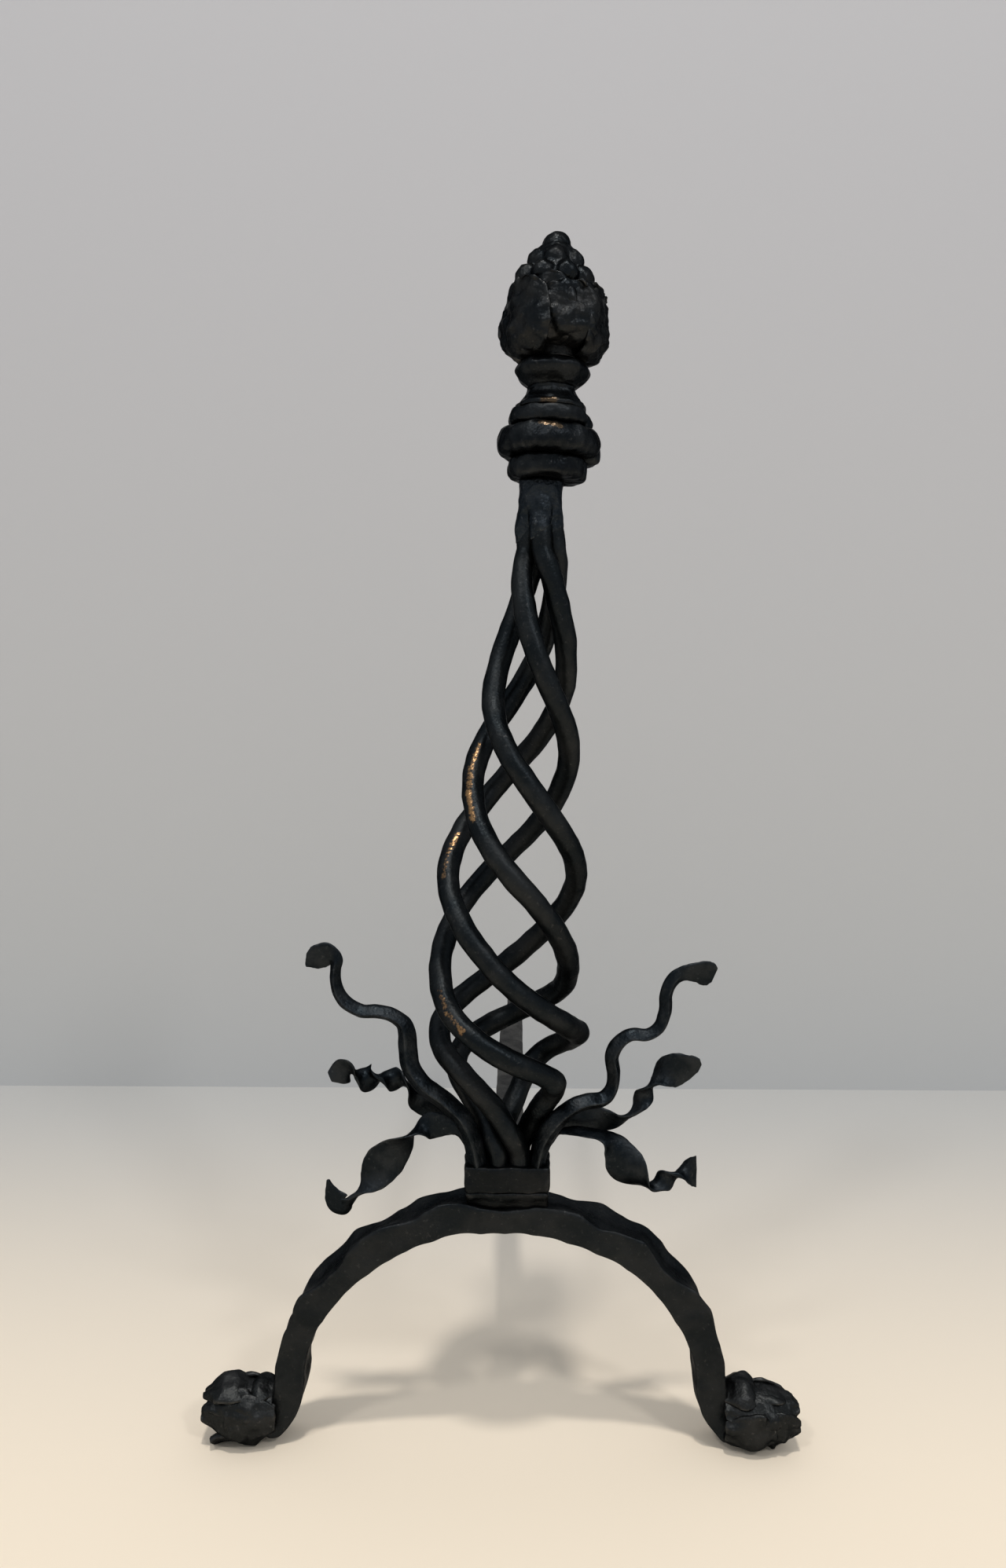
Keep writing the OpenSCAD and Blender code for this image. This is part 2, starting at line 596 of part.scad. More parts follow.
// How far a petal's inner side lies inside its belly radius, where it reaches deepest
petal_depth = petal_t + pow(petal_lift, 2) / (1.8 * petal_t);
inner_petal_r = outer_petal_r - petal_depth - petal_lift - petal_gap;
core_r = inner_petal_r - petal_depth - petal_gap;
outer_rows = [
    [outer_petal_r * 0.42, 0.4, 30, petal_t], [outer_petal_r * 0.78, outer_petal_h * 0.06, 36, petal_t],
    [outer_petal_r * 0.96, outer_petal_h * 0.2, 39, petal_t],
    [outer_petal_r, outer_petal_h * 0.42, 39, petal_t],
    [outer_petal_r * 0.98, outer_petal_h * 0.65, 37, petal_t],
    [outer_petal_r * 0.95, outer_petal_h * 0.87, 27, petal_t * 0.9],
    [outer_petal_r * 0.91, outer_petal_h, 7, petal_t * 0.6]
];
inner_rows = [
    [inner_petal_r * 0.52, petal_t + 1, 30, petal_t], [inner_petal_r * 0.82, petal_t + 3, 35, petal_t],
    [inner_petal_r * 0.98, inner_petal_h * 0.35, 38, petal_t],
    [inner_petal_r, inner_petal_h * 0.55, 38, petal_t],
    [inner_petal_r * 0.97, inner_petal_h * 0.75, 35, petal_t],
    [inner_petal_r * 0.92, inner_petal_h * 0.91, 25, petal_t * 0.9],
    [inner_petal_r * 0.88, inner_petal_h, 7, petal_t * 0.6]
];
core_line = smooth([
    [core_r * 0.5, 0], [core_r * 0.5, 2 * petal_t + 2.4], [core_r * 0.84, 2 * petal_t + 4.8],
    [core_r, inner_petal_h * 0.4], [core_r * 0.97, inner_petal_h * 0.6],
    [core_r * 0.85, inner_petal_h * 0.78]
], 3);
core_top = inner_petal_h * 0.78;
// Tiers of berries under the top ball: height above the core as a multiple of a berry's radius,
// radius of the tier as a share of the core's, and number of berries
berry_tiers = [[2.3, 0.75, 9], [3.4, 0.58, 7], [4.4, 0.37, 5]];
top_ball_h = 5.2 * berry_r;
berry_base_h = 2.1 * berry_r;

module bud_core() color(bud_iron) at_finial(bud_z) difference() {
    rotate_extrude() polygon(concat([[0, 0]], core_line, [[0, core_top]]));
    translate([0, 0, -1]) cylinder(r = pin_r + fit_gap, h = pin_in_bud + 1 + fit_gap);
}

module berry_cluster() color(bud_iron) at_finial(bud_z + core_top) {
    cylinder(r = core_r * 0.8, h = berry_base_h);
    translate([0, 0, berry_base_h - 1]) cylinder(r1 = core_r * 0.8, r2 = berry_r, h = 3 * berry_r);
    for (tier = berry_tiers)
        for (i = [0:tier[2] - 1])
            rotate([0, 0, 360 * (i + tier[0] / 4) / tier[2]])
                translate([core_r * tier[1], 0, berry_r * tier[0]]) sphere(berry_r, $fn = 16);
    translate([0, 0, top_ball_h]) sphere(top_ball_r, $fn = 24);
}

module outer_petal(i) color(bud_iron) at_finial(bud_z) rotate([0, 0, 360 * (i - 1) / petal_count])
    petal(outer_rows, petal_lift);
module inner_petal(i) color(bud_iron) at_finial(bud_z) rotate([0, 0, 360 * (i - 0.5) / petal_count])
    petal(inner_rows, petal_lift);

// ---- The pieces

arch_bar();
foot_core(-1);  // left_foot_core
foot_core(1);  // right_foot_core
for (i = [1:5]) {
    foot_petal(-1, i);
    foot_petal(1, i);
    outer_petal(i);
    inner_petal(i);
}
seat_block();
collar();
log_bar();
for (i = [1:4]) cage_rod(i - 1);
sprig(left_root_x, front_root_y, left_root_w, left_tendril_rows, 3);  // left_tendril
sprig(left_root_x, rear_root_y, left_root_w, left_upper_leaf_rows, 6);  // left_upper_leaf
sprig(left_root_x, 0, left_root_w, left_lower_leaf_rows, 6);  // left_lower_leaf
sprig(right_root_x, front_root_y, right_root_w, right_tendril_rows, 3);  // right_tendril
sprig(right_root_x, rear_root_y, right_root_w, right_upper_leaf_rows, 6);  // right_upper_leaf
sprig(right_root_x, 0, right_root_w, right_lower_leaf_rows, 6);  // right_lower_leaf
stem();
finial_pin();
lower_ring();
big_ring();
shoulder_ring();
neck();
upper_ring();
bud_core();
berry_cluster();
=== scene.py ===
# Looks of a forged andiron: an arched foot bar with rosette feet, a basket twist under a bud,
# curling leaf sprigs, and the square bar at the back that carries the logs.
import math

import bmesh
import bpy
from mathutils import Euler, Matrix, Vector, noise


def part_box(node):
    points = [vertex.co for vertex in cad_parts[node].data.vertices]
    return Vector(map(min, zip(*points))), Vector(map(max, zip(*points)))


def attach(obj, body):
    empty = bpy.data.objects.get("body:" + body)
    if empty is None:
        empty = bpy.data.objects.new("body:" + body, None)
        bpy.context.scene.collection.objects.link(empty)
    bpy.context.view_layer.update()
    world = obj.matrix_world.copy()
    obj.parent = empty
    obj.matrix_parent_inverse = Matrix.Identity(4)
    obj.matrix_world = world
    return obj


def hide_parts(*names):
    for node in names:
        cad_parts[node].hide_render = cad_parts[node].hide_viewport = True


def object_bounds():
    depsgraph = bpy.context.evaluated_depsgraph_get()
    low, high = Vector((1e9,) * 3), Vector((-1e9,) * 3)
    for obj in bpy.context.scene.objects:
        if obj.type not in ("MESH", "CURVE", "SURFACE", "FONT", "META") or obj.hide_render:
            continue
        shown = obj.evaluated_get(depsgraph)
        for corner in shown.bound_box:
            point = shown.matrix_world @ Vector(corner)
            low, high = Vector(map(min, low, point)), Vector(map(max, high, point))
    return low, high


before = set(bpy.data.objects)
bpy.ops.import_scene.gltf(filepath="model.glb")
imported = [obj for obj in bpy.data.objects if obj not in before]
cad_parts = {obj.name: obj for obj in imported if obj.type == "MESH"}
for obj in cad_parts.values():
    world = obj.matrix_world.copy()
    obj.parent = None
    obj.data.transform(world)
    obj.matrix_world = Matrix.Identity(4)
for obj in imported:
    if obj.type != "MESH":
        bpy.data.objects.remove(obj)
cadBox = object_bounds()
cadLow, cadHigh = Vector(cadBox[0]), Vector(cadBox[1])
scene = bpy.context.scene
scene.view_settings.view_transform = "Standard"

# Shapes are written in millimetres about the arch's middle plane, and put into the frame in metres
mm = 0.001
archLow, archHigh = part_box("arch_bar")
archMidY = (archLow.y + archHigh.y) / 2


def inFrame(point):
    return Vector((point[0] * mm, point[1] * mm + archMidY, point[2] * mm))


# A curve through four neighbours, at the share t of the way between the middle two
def between(a, b, c, d, t):
    return [0.5 * (2 * q + (r - p) * t + (2 * p - 5 * q + 4 * r - s) * t * t
                   + (3 * q - p - 3 * r + s) * t ** 3) for p, q, r, s in zip(a, b, c, d)]


def smoothRows(rows, steps):  # a smooth line through rows of numbers
    last = len(rows) - 1
    out = []
    for i in range(last):
        near = rows[max(i - 1, 0)], rows[i], rows[i + 1], rows[min(i + 2, last)]
        out += [between(*near, s / steps) for s in range(steps)]
    return out + [list(rows[last])]


def ease(t):
    t = min(max(t, 0.0), 1.0)
    return t * t * (3 - 2 * t)


def readRow(rows, at, soften=ease):  # the value of a table of (place, value) at a place
    for (a, low), (b, high) in zip(rows, rows[1:]):
        if at <= b:
            return low + (high - low) * soften((at - a) / (b - a))
    return rows[-1][1]


def cusped(t):  # between a straight and an eased step, for edges with hammered corners
    return 0.6 * t + 0.4 * ease(t)


def waver(place, size, seed):  # smooth noise from -1 to 1 at a place in millimetres
    return noise.noise(Vector(place) / size + Vector((seed * 7.3, seed * 3.1, seed * 5.7)))


def carried(path, side):  # directions along and across a path, without spinning about it
    out = []
    for i in range(len(path)):
        along = (path[min(i + 1, len(path) - 1)] - path[max(i - 1, 0)]).normalized()
        side = (side - along * side.dot(along)).normalized()
        out.append((along, side, along.cross(side)))
    return out


def placed(name, mesh):
    piece = bpy.data.objects.new(name, mesh)
    scene.collection.objects.link(piece)
    return piece


def meshPiece(name, verts, faces):
    mesh = bpy.data.meshes.new(name)
    mesh.from_pydata([inFrame(v) for v in verts], [], faces)
    merged = bmesh.new()
    merged.from_mesh(mesh)
    bmesh.ops.remove_doubles(merged, verts=merged.verts, dist=1e-6)
    bmesh.ops.recalc_face_normals(merged, faces=merged.faces)
    merged.to_mesh(mesh)
    merged.free()
    return placed(name, mesh)


def linePiece(name, points, thickness):  # points joined in a line, with a thickness each
    mesh = bpy.data.meshes.new(name)
    mesh.from_pydata([inFrame(p) for p in points], [(i, i + 1) for i in range(len(points) - 1)], [])
    mesh.attributes.new("thickness", "FLOAT", "POINT").data.foreach_set("value", thickness)
    return placed(name, mesh)


def skinRings(name, rings, wrapped=False):  # a skin over rings of points, capped unless it is wrapped
    count, around = len(rings), len(rings[0])
    faces = []
    for i in range(count if wrapped else count - 1):
        for j in range(around):
            here, there, k = i * around, (i + 1) % count * around, (j + 1) % around
            faces.append((here + j, here + k, there + k, there + j))
    if not wrapped:
        for base in (0, (count - 1) * around):
            for j in range(around // 2 - 1):
                faces.append((base + j, base + j + 1, base + around - 2 - j, base + around - 1 - j))
    return meshPiece(name, [p for ring in rings for p in ring], faces)


def joinRings(name, skins):  # several skins as one piece
    parts = [skinRings(name, rings) for rings in skins]
    whole = bmesh.new()
    for part in parts:
        whole.from_mesh(part.data)
    whole.to_mesh(parts[0].data)
    whole.free()
    for part in parts[1:]:
        bpy.data.objects.remove(part)
    return parts[0]


def socketId(tree, name):
    for item in tree.interface.items_tree:
        if item.item_type == "SOCKET" and item.in_out == "INPUT" and item.name == name:
            return item.identifier
    raise KeyError(name)


def newTree(name, kind, inputs, outputs):
    tree = bpy.data.node_groups.new(name, kind)
    for label, socket, value in inputs:
        item = tree.interface.new_socket(label, in_out="INPUT", socket_type="NodeSocket" + socket)
        if value is not None:
            item.default_value = value
    for label, socket in outputs:
        tree.interface.new_socket(label, in_out="OUTPUT", socket_type="NodeSocket" + socket)
    return tree, tree.nodes.new("NodeGroupInput").outputs, tree.nodes.new("NodeGroupOutput").inputs


def addNode(tree, kind, links=None, **settings):
    node = tree.nodes.new(kind)
    for name, value in settings.items():
        setattr(node, name, value)
    for key, value in (links or {}).items():
        target = node.inputs[key]
        if isinstance(value, bpy.types.NodeSocket):
            tree.links.new(value, target)
        else:
            target.default_value = value
    return node


def mathNode(tree, operation, a, b=0.0, c=0.0):
    return addNode(tree, "ShaderNodeMath", {0: a, 1: b, 2: c}, operation=operation).outputs[0]


def vectorNode(tree, operation, inputs, output="Vector"):
    return addNode(tree, "ShaderNodeVectorMath", inputs, operation=operation).outputs[output]


def rangeNode(tree, value, low, high):  # 0 at the low value, 1 at the high one
    return addNode(tree, "ShaderNodeMapRange", {0: value, 1: low, 2: high}).outputs[0]


def blendNode(tree, share, low, high):  # a colour between two
    return addNode(tree, "ShaderNodeMix", {0: share, 6: low, 7: high}, data_type="RGBA").outputs[2]


def noiseNode(tree, place, scale, detail, rough):
    return addNode(tree, "ShaderNodeTexNoise", {
        "Vector": place, "Scale": scale, "Detail": detail, "Roughness": rough}).outputs["Fac"]


def thicknessNode(tree):  # the attribute that linePiece gives each point
    named = addNode(tree, "GeometryNodeInputNamedAttribute", {"Name": "thickness"}, data_type="FLOAT")
    return named.outputs[0]


def shapeTree(name, inputs):
    return newTree(name, "GeometryNodeTree", [("Geometry", "Geometry", None)] + inputs,
                   [("Geometry", "Geometry")])


markSockets = [("Dent Depth", "Float", 0.0004), ("Dent Size", "Float", 0.009), ("Seed", "Float", 0.0),
               ("Waver Depth", "Float", 0.0004), ("Waver Size", "Float", 0.03)]
skinSockets = markSockets + [("Iron", "Material", None)]


# Hammer marks: shallow dishes with ridges between them, and a slow waver of the whole surface
def buildHammerMarks():
    tree, given, out = shapeTree("hammerMarks", markSockets)
    place = addNode(tree, "GeometryNodeInputPosition").outputs[0]
    normal = addNode(tree, "GeometryNodeInputNormal").outputs[0]
    dents = addNode(tree, "ShaderNodeTexVoronoi", {
        "Vector": place, "W": given["Seed"], "Scale": mathNode(tree, "DIVIDE", 1.0, given["Dent Size"]),
        "Smoothness": 0.35}, voronoi_dimensions="4D", feature="SMOOTH_F1").outputs["Distance"]
    dish = mathNode(tree, "SUBTRACT", mathNode(tree, "POWER", dents, 2.0), 0.25)
    sway = addNode(tree, "ShaderNodeTexNoise", {
        "Vector": place, "W": given["Seed"], "Scale": mathNode(tree, "DIVIDE", 1.0, given["Waver Size"]),
        "Detail": 2.0}, noise_dimensions="4D").outputs["Fac"]
    sway = mathNode(tree, "MULTIPLY", mathNode(tree, "SUBTRACT", sway, 0.5), given["Waver Depth"])
    shift = mathNode(tree, "ADD", mathNode(tree, "MULTIPLY", dish, given["Dent Depth"]), sway)
    offset = vectorNode(tree, "SCALE", {0: normal, "Scale": shift})
    moved = addNode(tree, "GeometryNodeSetPosition", {"Geometry": given["Geometry"], "Offset": offset})
    tree.links.new(moved.outputs[0], out["Geometry"])
    return tree


def endTree(tree, given, out, geometry):  # hammer marks, then what the export needs
    marked = addNode(tree, "GeometryNodeGroup", node_tree=hammerMarks)
    tree.links.new(geometry, marked.inputs["Geometry"])
    for name, kind, value in markSockets:
        tree.links.new(given[name], marked.inputs[name])
    smooth = addNode(tree, "GeometryNodeSetShadeSmooth", {0: marked.outputs[0]})
    real = addNode(tree, "GeometryNodeRealizeInstances", {0: smooth.outputs[0]})
    iron = addNode(tree, "GeometryNodeSetMaterial", {0: real.outputs[0], "Material": given["Iron"]})
    tree.links.new(iron.outputs[0], out["Geometry"])
    return tree


def buildForgedSkin():
    tree, given, out = shapeTree("forgedSkin", [("Level", "Int", 1)] + skinSockets)
    fine = addNode(tree, "GeometryNodeSubdivisionSurface", {0: given["Geometry"], "Level": given["Level"]})
    return endTree(tree, given, out, fine.outputs[0])


# A round bar along a line of points; each point's thickness attribute is the bar's radius there
def buildRoundBar():
    tree, given, out = shapeTree("roundBar", [("Sides", "Int", 24), ("Step", "Float", 0.0014)] + skinSockets)
    line = addNode(tree, "GeometryNodeMeshToCurve", {0: given["Geometry"]}).outputs[0]
    even = addNode(tree, "GeometryNodeResampleCurve", {"Curve": line, "Length": given["Step"]}, mode="LENGTH")
    circle = addNode(tree, "GeometryNodeCurvePrimitiveCircle", {"Resolution": given["Sides"], "Radius": 1.0})
    bar = addNode(tree, "GeometryNodeCurveToMesh", {
        "Curve": even.outputs[0], "Profile Curve": circle.outputs[0], "Scale": thicknessNode(tree),
        "Fill Caps": True})
    return endTree(tree, given, out, bar.outputs[0])


# Tiers of berries round an axis, with a ball on top: every berry has its own size
def buildBerryPile():
    tree, given, out = shapeTree("berryPile", [
        ("Berry Radius", "Float", 0.0053), ("Spread", "Float", 0.12), ("Berry Seed", "Int", 3)] + skinSockets)
    size = addNode(tree, "FunctionNodeRandomValue", {"Seed": given["Berry Seed"]}, data_type="FLOAT")
    tree.links.new(mathNode(tree, "SUBTRACT", 1.0, given["Spread"]), size.inputs[2])
    tree.links.new(mathNode(tree, "ADD", 1.0, given["Spread"]), size.inputs[3])
    ball = addNode(tree, "GeometryNodeMeshUVSphere", {
        "Segments": 28, "Rings": 20, "Radius": given["Berry Radius"]})
    pile = addNode(tree, "GeometryNodeInstanceOnPoints", {
        "Points": given["Geometry"], "Instance": ball.outputs[0],
        "Scale": mathNode(tree, "MULTIPLY", size.outputs[1], thicknessNode(tree))})
    real = addNode(tree, "GeometryNodeRealizeInstances", {0: pile.outputs[0]})
    return endTree(tree, given, out, real.outputs[0])


hammerMarks = buildHammerMarks()
forgedSkin = buildForgedSkin()
roundBar = buildRoundBar()
berryPile = buildBerryPile()


def plainMesh(piece):  # what the modifiers make of the piece, as its own mesh without them
    shown = piece.evaluated_get(bpy.context.evaluated_depsgraph_get())
    rough, piece.data = piece.data, bpy.data.meshes.new_from_object(shown)
    piece.modifiers.clear()
    bpy.data.meshes.remove(rough)
    return piece


def runTree(piece, tree, values):
    modifier = piece.modifiers.new(tree.name, "NODES")
    modifier.node_group = tree
    for name, value in values.items():
        modifier[socketId(tree, name)] = value
    return plainMesh(piece)


def marks(dent, size, sway, swaySize, seed, iron):  # sizes in millimetres
    return {"Dent Depth": dent * mm, "Dent Size": size * mm, "Waver Depth": sway * mm,
            "Waver Size": swaySize * mm, "Seed": float(seed), "Iron": iron}


def forge(piece, iron, level=1, dent=0.5, size=8.0, sway=0.6, swaySize=28.0, seed=0.0):
    return runTree(piece, forgedSkin, {"Level": level, **marks(dent, size, sway, swaySize, seed, iron)})


def settle(piece, slot, *nodes):  # keeps the piece in the CAD box, and hands it to the frame
    for vertex in piece.data.vertices:
        for axis in range(3):
            vertex.co[axis] = min(max(vertex.co[axis], cadLow[axis]), cadHigh[axis])
    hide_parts(*nodes)
    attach(piece, "root")


print("shape trees ready")


def buildScaleSkin():  # fire scale on forged iron: patches, specks, pits and bright ridges
    tree, given, out = newTree("scaleSkin", "ShaderNodeTree", [
        ("Dark", "Color", (0.012, 0.013, 0.014, 1)), ("Patch", "Color", (0.024, 0.022, 0.02, 1)),
        ("Bright", "Color", (0.09, 0.085, 0.08, 1)), ("Patch Size", "Float", 0.02),
        ("Pit Size", "Float", 0.0012), ("Ridge Wear", "Float", 0.5), ("Roughness", "Float", 0.5)],
        [("Color", "Color"), ("Roughness", "Float"), ("Height", "Float"), ("Wear", "Float")])
    place = addNode(tree, "ShaderNodeTexCoord").outputs["Object"]
    patches = noiseNode(tree, place, mathNode(tree, "DIVIDE", 1.0, given["Patch Size"]), 5.0, 0.6)
    specks = rangeNode(tree, noiseNode(tree, place, 420.0, 4.0, 0.7), 0.6, 0.74)
    pits = addNode(tree, "ShaderNodeTexVoronoi", {
        "Vector": place, "Scale": mathNode(tree, "DIVIDE", 1.0, given["Pit Size"]),
        "Smoothness": 0.6}, feature="SMOOTH_F1").outputs["Distance"]
    ridges = rangeNode(tree, addNode(tree, "ShaderNodeNewGeometry").outputs["Pointiness"], 0.515, 0.6)
    scuffs = noiseNode(tree, place, 160.0, 6.0, 0.75)
    wear = mathNode(tree, "MULTIPLY", ridges, rangeNode(tree, scuffs, 0.44, 0.66))
    wear = mathNode(tree, "MULTIPLY", wear, given["Ridge Wear"])
    wear = addNode(tree, "ShaderNodeClamp", {0: wear}).outputs[0]
    tone = blendNode(tree, rangeNode(tree, patches, 0.42, 0.62), given["Dark"], given["Patch"])
    dusty = blendNode(tree, mathNode(tree, "MULTIPLY", specks, 0.35), tone, given["Bright"])
    tree.links.new(blendNode(tree, wear, dusty, given["Bright"]), out["Color"])
    uneven = mathNode(tree, "MULTIPLY", mathNode(tree, "SUBTRACT", patches, 0.5), 0.5)
    rough = mathNode(tree, "ADD", given["Roughness"], uneven)
    rough = mathNode(tree, "SUBTRACT", rough, mathNode(tree, "MULTIPLY", wear, 0.15))
    tree.links.new(addNode(tree, "ShaderNodeClamp", {0: rough, 1: 0.2, 2: 0.95}).outputs[0], out["Roughness"])
    height = mathNode(tree, "MULTIPLY", scuffs, 0.8)
    height = mathNode(tree, "ADD", mathNode(tree, "MULTIPLY", pits, 0.5), height)
    tree.links.new(height, out["Height"])
    tree.links.new(wear, out["Wear"])
    return tree


def buildRubAndHighlightStreak():  # a ragged streak along a line, partly rubbed wear and partly a painted warm highlight
    tree, given, out = newTree("rubbedStreak", "ShaderNodeTree", [
        ("Centre", "Vector", (0, 0, 0)), ("Way", "Vector", (0, 0, 1)), ("Half Length", "Float", 0.02),
        ("Reach", "Float", 0.003)], [("Mask", "Float")])
    place = addNode(tree, "ShaderNodeTexCoord").outputs["Object"]
    apart = vectorNode(tree, "SUBTRACT", {0: place, 1: given["Centre"]})
    along = vectorNode(tree, "DOT_PRODUCT", {0: apart, 1: given["Way"]}, "Value")
    along = mathNode(tree, "MINIMUM", along, given["Half Length"])
    along = mathNode(tree, "MAXIMUM", along, mathNode(tree, "MULTIPLY", given["Half Length"], -1.0))
    line = vectorNode(tree, "SCALE", {0: given["Way"], "Scale": along})
    far = vectorNode(tree, "DISTANCE", {0: apart, 1: line}, "Value")
    near = mathNode(tree, "SUBTRACT", 1.0, mathNode(tree, "DIVIDE", far, given["Reach"]))
    grain = mathNode(tree, "SUBTRACT", noiseNode(tree, place, 620.0, 4.0, 0.7), 0.5)
    mask = mathNode(tree, "ADD", near, mathNode(tree, "MULTIPLY", grain, 2.1))
    mask = rangeNode(tree, mask, 0.2, 0.7)
    near = addNode(tree, "ShaderNodeClamp", {0: mathNode(tree, "MULTIPLY", near, 3.0)}).outputs[0]
    tree.links.new(mathNode(tree, "MULTIPLY", mask, near), out["Mask"])
    return tree


scaleSkin = buildScaleSkin()
rubbedStreak = buildRubAndHighlightStreak()


def ironFinish(name, look, streaks=()):  # streaks: two ends and a reach in millimetres
    iron = bpy.data.materials.new(name)
    iron.use_nodes = True
    tree = iron.node_tree
    shader = tree.nodes["Principled BSDF"]
    skin = addNode(tree, "ShaderNodeGroup", node_tree=scaleSkin)
    for key, value in look["skin"].items():
        skin.inputs[key].default_value = value
    colour, rough = skin.outputs["Color"], skin.outputs["Roughness"]
    metal = addNode(tree, "ShaderNodeMapRange", {
        0: skin.outputs["Wear"], 3: look["metal"], 4: 1.0}).outputs[0]
    # Each streak lays bronze over the iron: partly rubbed wear, partly a painted highlight where a warm lamp
    # would glint
    for start, end, reach in streaks:
        start, end = inFrame(start), inFrame(end)
        streak = addNode(tree, "ShaderNodeGroup", node_tree=rubbedStreak)
        streak.inputs["Centre"].default_value = (start + end) / 2
        streak.inputs["Way"].default_value = (end - start).normalized()
        streak.inputs["Half Length"].default_value = (end - start).length / 2
        streak.inputs["Reach"].default_value = reach * mm
        mask = streak.outputs["Mask"]
        colour = blendNode(tree, mask, colour, look["rub"])
        rough = addNode(tree, "ShaderNodeMix", {0: mask, 2: rough, 3: look["rubRoughness"]}).outputs[0]
        metal = addNode(tree, "ShaderNodeMix", {0: mask, 2: metal, 3: look["rubMetal"]}).outputs[0]
    bump = addNode(tree, "ShaderNodeBump", {
        "Height": skin.outputs["Height"], "Strength": look["bump"], "Distance": 0.0004})
    shader.inputs["Specular IOR Level"].default_value = look["gloss"]
    shader.inputs["Specular Tint"].default_value = look["edge"]
    for key, value in (("Base Color", colour), ("Roughness", rough), ("Metallic", metal),
                       ("Normal", bump.outputs[0])):
        tree.links.new(value, shader.inputs[key])
    return iron


ironLook = {
    "skin": {"Dark": (0.0145, 0.0175, 0.02, 1), "Patch": (0.025, 0.0275, 0.0295, 1),
             "Bright": (0.12, 0.12, 0.12, 1), "Patch Size": 0.022, "Pit Size": 0.0013,
             "Ridge Wear": 0.6, "Roughness": 0.42},
    "metal": 0.95, "gloss": 0.2, "edge": (0.36, 0.365, 0.37, 1), "bump": 0.7,
    # the streaks' bronze: partly rubbed wear, partly a painted warm highlight
    "rub": (0.34, 0.2, 0.095, 1), "rubRoughness": 0.26, "rubMetal": 0.9,
}


def varied(skin, **look):  # the black iron with some of its values changed
    return {**ironLook, **look, "skin": {**ironLook["skin"], **skin}}


blackIron = ironFinish("blackIron", ironLook)
leafIron = ironFinish("leafIron", varied({
    "Dark": (0.011, 0.0145, 0.018, 1), "Patch": (0.027, 0.031, 0.035, 1), "Bright": (0.11, 0.12, 0.13, 1),
    "Patch Size": 0.012, "Ridge Wear": 0.8}))
footIron = ironFinish("footIron", varied({
    "Dark": (0.0225, 0.0245, 0.0255, 1), "Patch": (0.037, 0.0385, 0.04, 1), "Bright": (0.16, 0.16, 0.16, 1)}))
collarIron = ironFinish("collarIron", varied({
    "Dark": (0.011, 0.013, 0.0145, 1), "Patch": (0.019, 0.0205, 0.022, 1)}))
stemIron = ironFinish("stemIron", varied({
    "Dark": (0.016, 0.0205, 0.0255, 1), "Patch": (0.03, 0.0355, 0.042, 1), "Bright": (0.24, 0.25, 0.26, 1),
    "Patch Size": 0.01, "Ridge Wear": 0.9, "Roughness": 0.36}, bump=1.0))
budIron = ironFinish("budIron", varied({
    "Dark": (0.0135, 0.016, 0.0185, 1), "Patch": (0.026, 0.0265, 0.027, 1), "Roughness": 0.36}))
# The neck's streaks are partly rubbed wear and partly painted highlights
neckIron = ironFinish("neckIron", varied({
    "Dark": (0.0105, 0.0125, 0.0148, 1), "Patch": (0.022, 0.0245, 0.027, 1), "Roughness": 0.38},
    rub=(0.095, 0.068, 0.045, 1)), [
        ((21, -17, 517), (26, -17, 516), 3), ((20, -22, 505), (28, -24, 503), 2.8)])
# The log bar's iron is painted a far lighter grey than the rest: a painted highlight for its top face, lit
# from above
paintedLitBarIron = ironFinish("paintedLitBarIron", varied({
    "Dark": (0.06, 0.061, 0.062, 1), "Patch": (0.12, 0.12, 0.118, 1), "Bright": (0.25, 0.25, 0.25, 1),
    "Roughness": 0.7}))

print("materials ready")

# The foot bar: an arch on two ellipses, whose ends toe outwards into the feet
arch = {
    "innerHalf": 97.3, "innerRise": 75.7, "outerHalf": 112.0, "outerRise": 89.0, "springZ": 35.0,
    "toeRadius": 40.0, "legThick": 14.7, "toeTurn": 57, "hollow": 1.7, "tuck": 3.0, "tuckStart": 48,
    "dent": 1.5, "dentSize": 11.0,
    # how far the rims and the underside stray from the two ellipses, by the angle round the arch
    "rearRim": [
        (0, 1.8), (15, -0.5), (22, 0), (34, 2.2), (40, 1.2), (50, 4.6), (56, 3), (63, 4.8), (71, 1.2),
        (80, 3.2), (97, 3.8), (104, 2.6), (110, 3.6), (116, 0.8), (124, -0.8), (130, 2), (136, -0.6),
        (148, 0.2), (158, -1.3), (168, 1), (180, 1.6)],
    "frontRim": [
        (0, 1.4), (14, 0.5), (23, 3.6), (30, 2.6), (38, -2.4), (42, -2.4), (51, 3.2), (57, 1.6), (63, -1),
        (70, 2.4), (76, 2.2), (80.4, 1.7), (83.4, -0.1), (89, -1.9), (95, 0.1), (100, 4), (105, 4.4),
        (109, 2.6), (112, 0.2), (116, 0.6), (122, 2.8), (127, 2), (133, 0), (138, -3.2), (146, -3.2),
        (152, 2), (160, -0.4), (170, 0.6), (180, 1.2)],
    "underside": [
        (0, 1.2), (9, 0.9), (16, 0), (34, -0.7), (45, 0.2), (80, 0.4), (94, 0.1), (104, 1.6), (114, 0.5),
        (124, -0.5), (136, -1), (150, -1.1), (158, 0.1), (180, 1.2)],
}


def toeStation(side, turn):  # the toe's end is rounded off inside the foot
    a = arch
    tuck = a["tuck"] * ease((turn - a["tuckStart"]) / 9) ** 2
    t = math.radians(turn)
    x = a["innerHalf"] + a["toeRadius"]
    ends = [Vector((side * (x - r * math.cos(t)), a["springZ"] - r * math.sin(t)))
            for r in (a["toeRadius"] - tuck, a["toeRadius"] - a["legThick"] + tuck)]
    return (*ends, 180 if side < 0 else 0, 1.0 - ease(turn / a["toeTurn"]))


def crownStation(angle):
    a = arch
    t = math.radians(angle)
    ends = [Vector((a[half] * math.cos(t), a["springZ"] + a[rise] * math.sin(t)))
            for half, rise in (("innerHalf", "innerRise"), ("outerHalf", "outerRise"))]
    return (*ends, angle, 1.0)


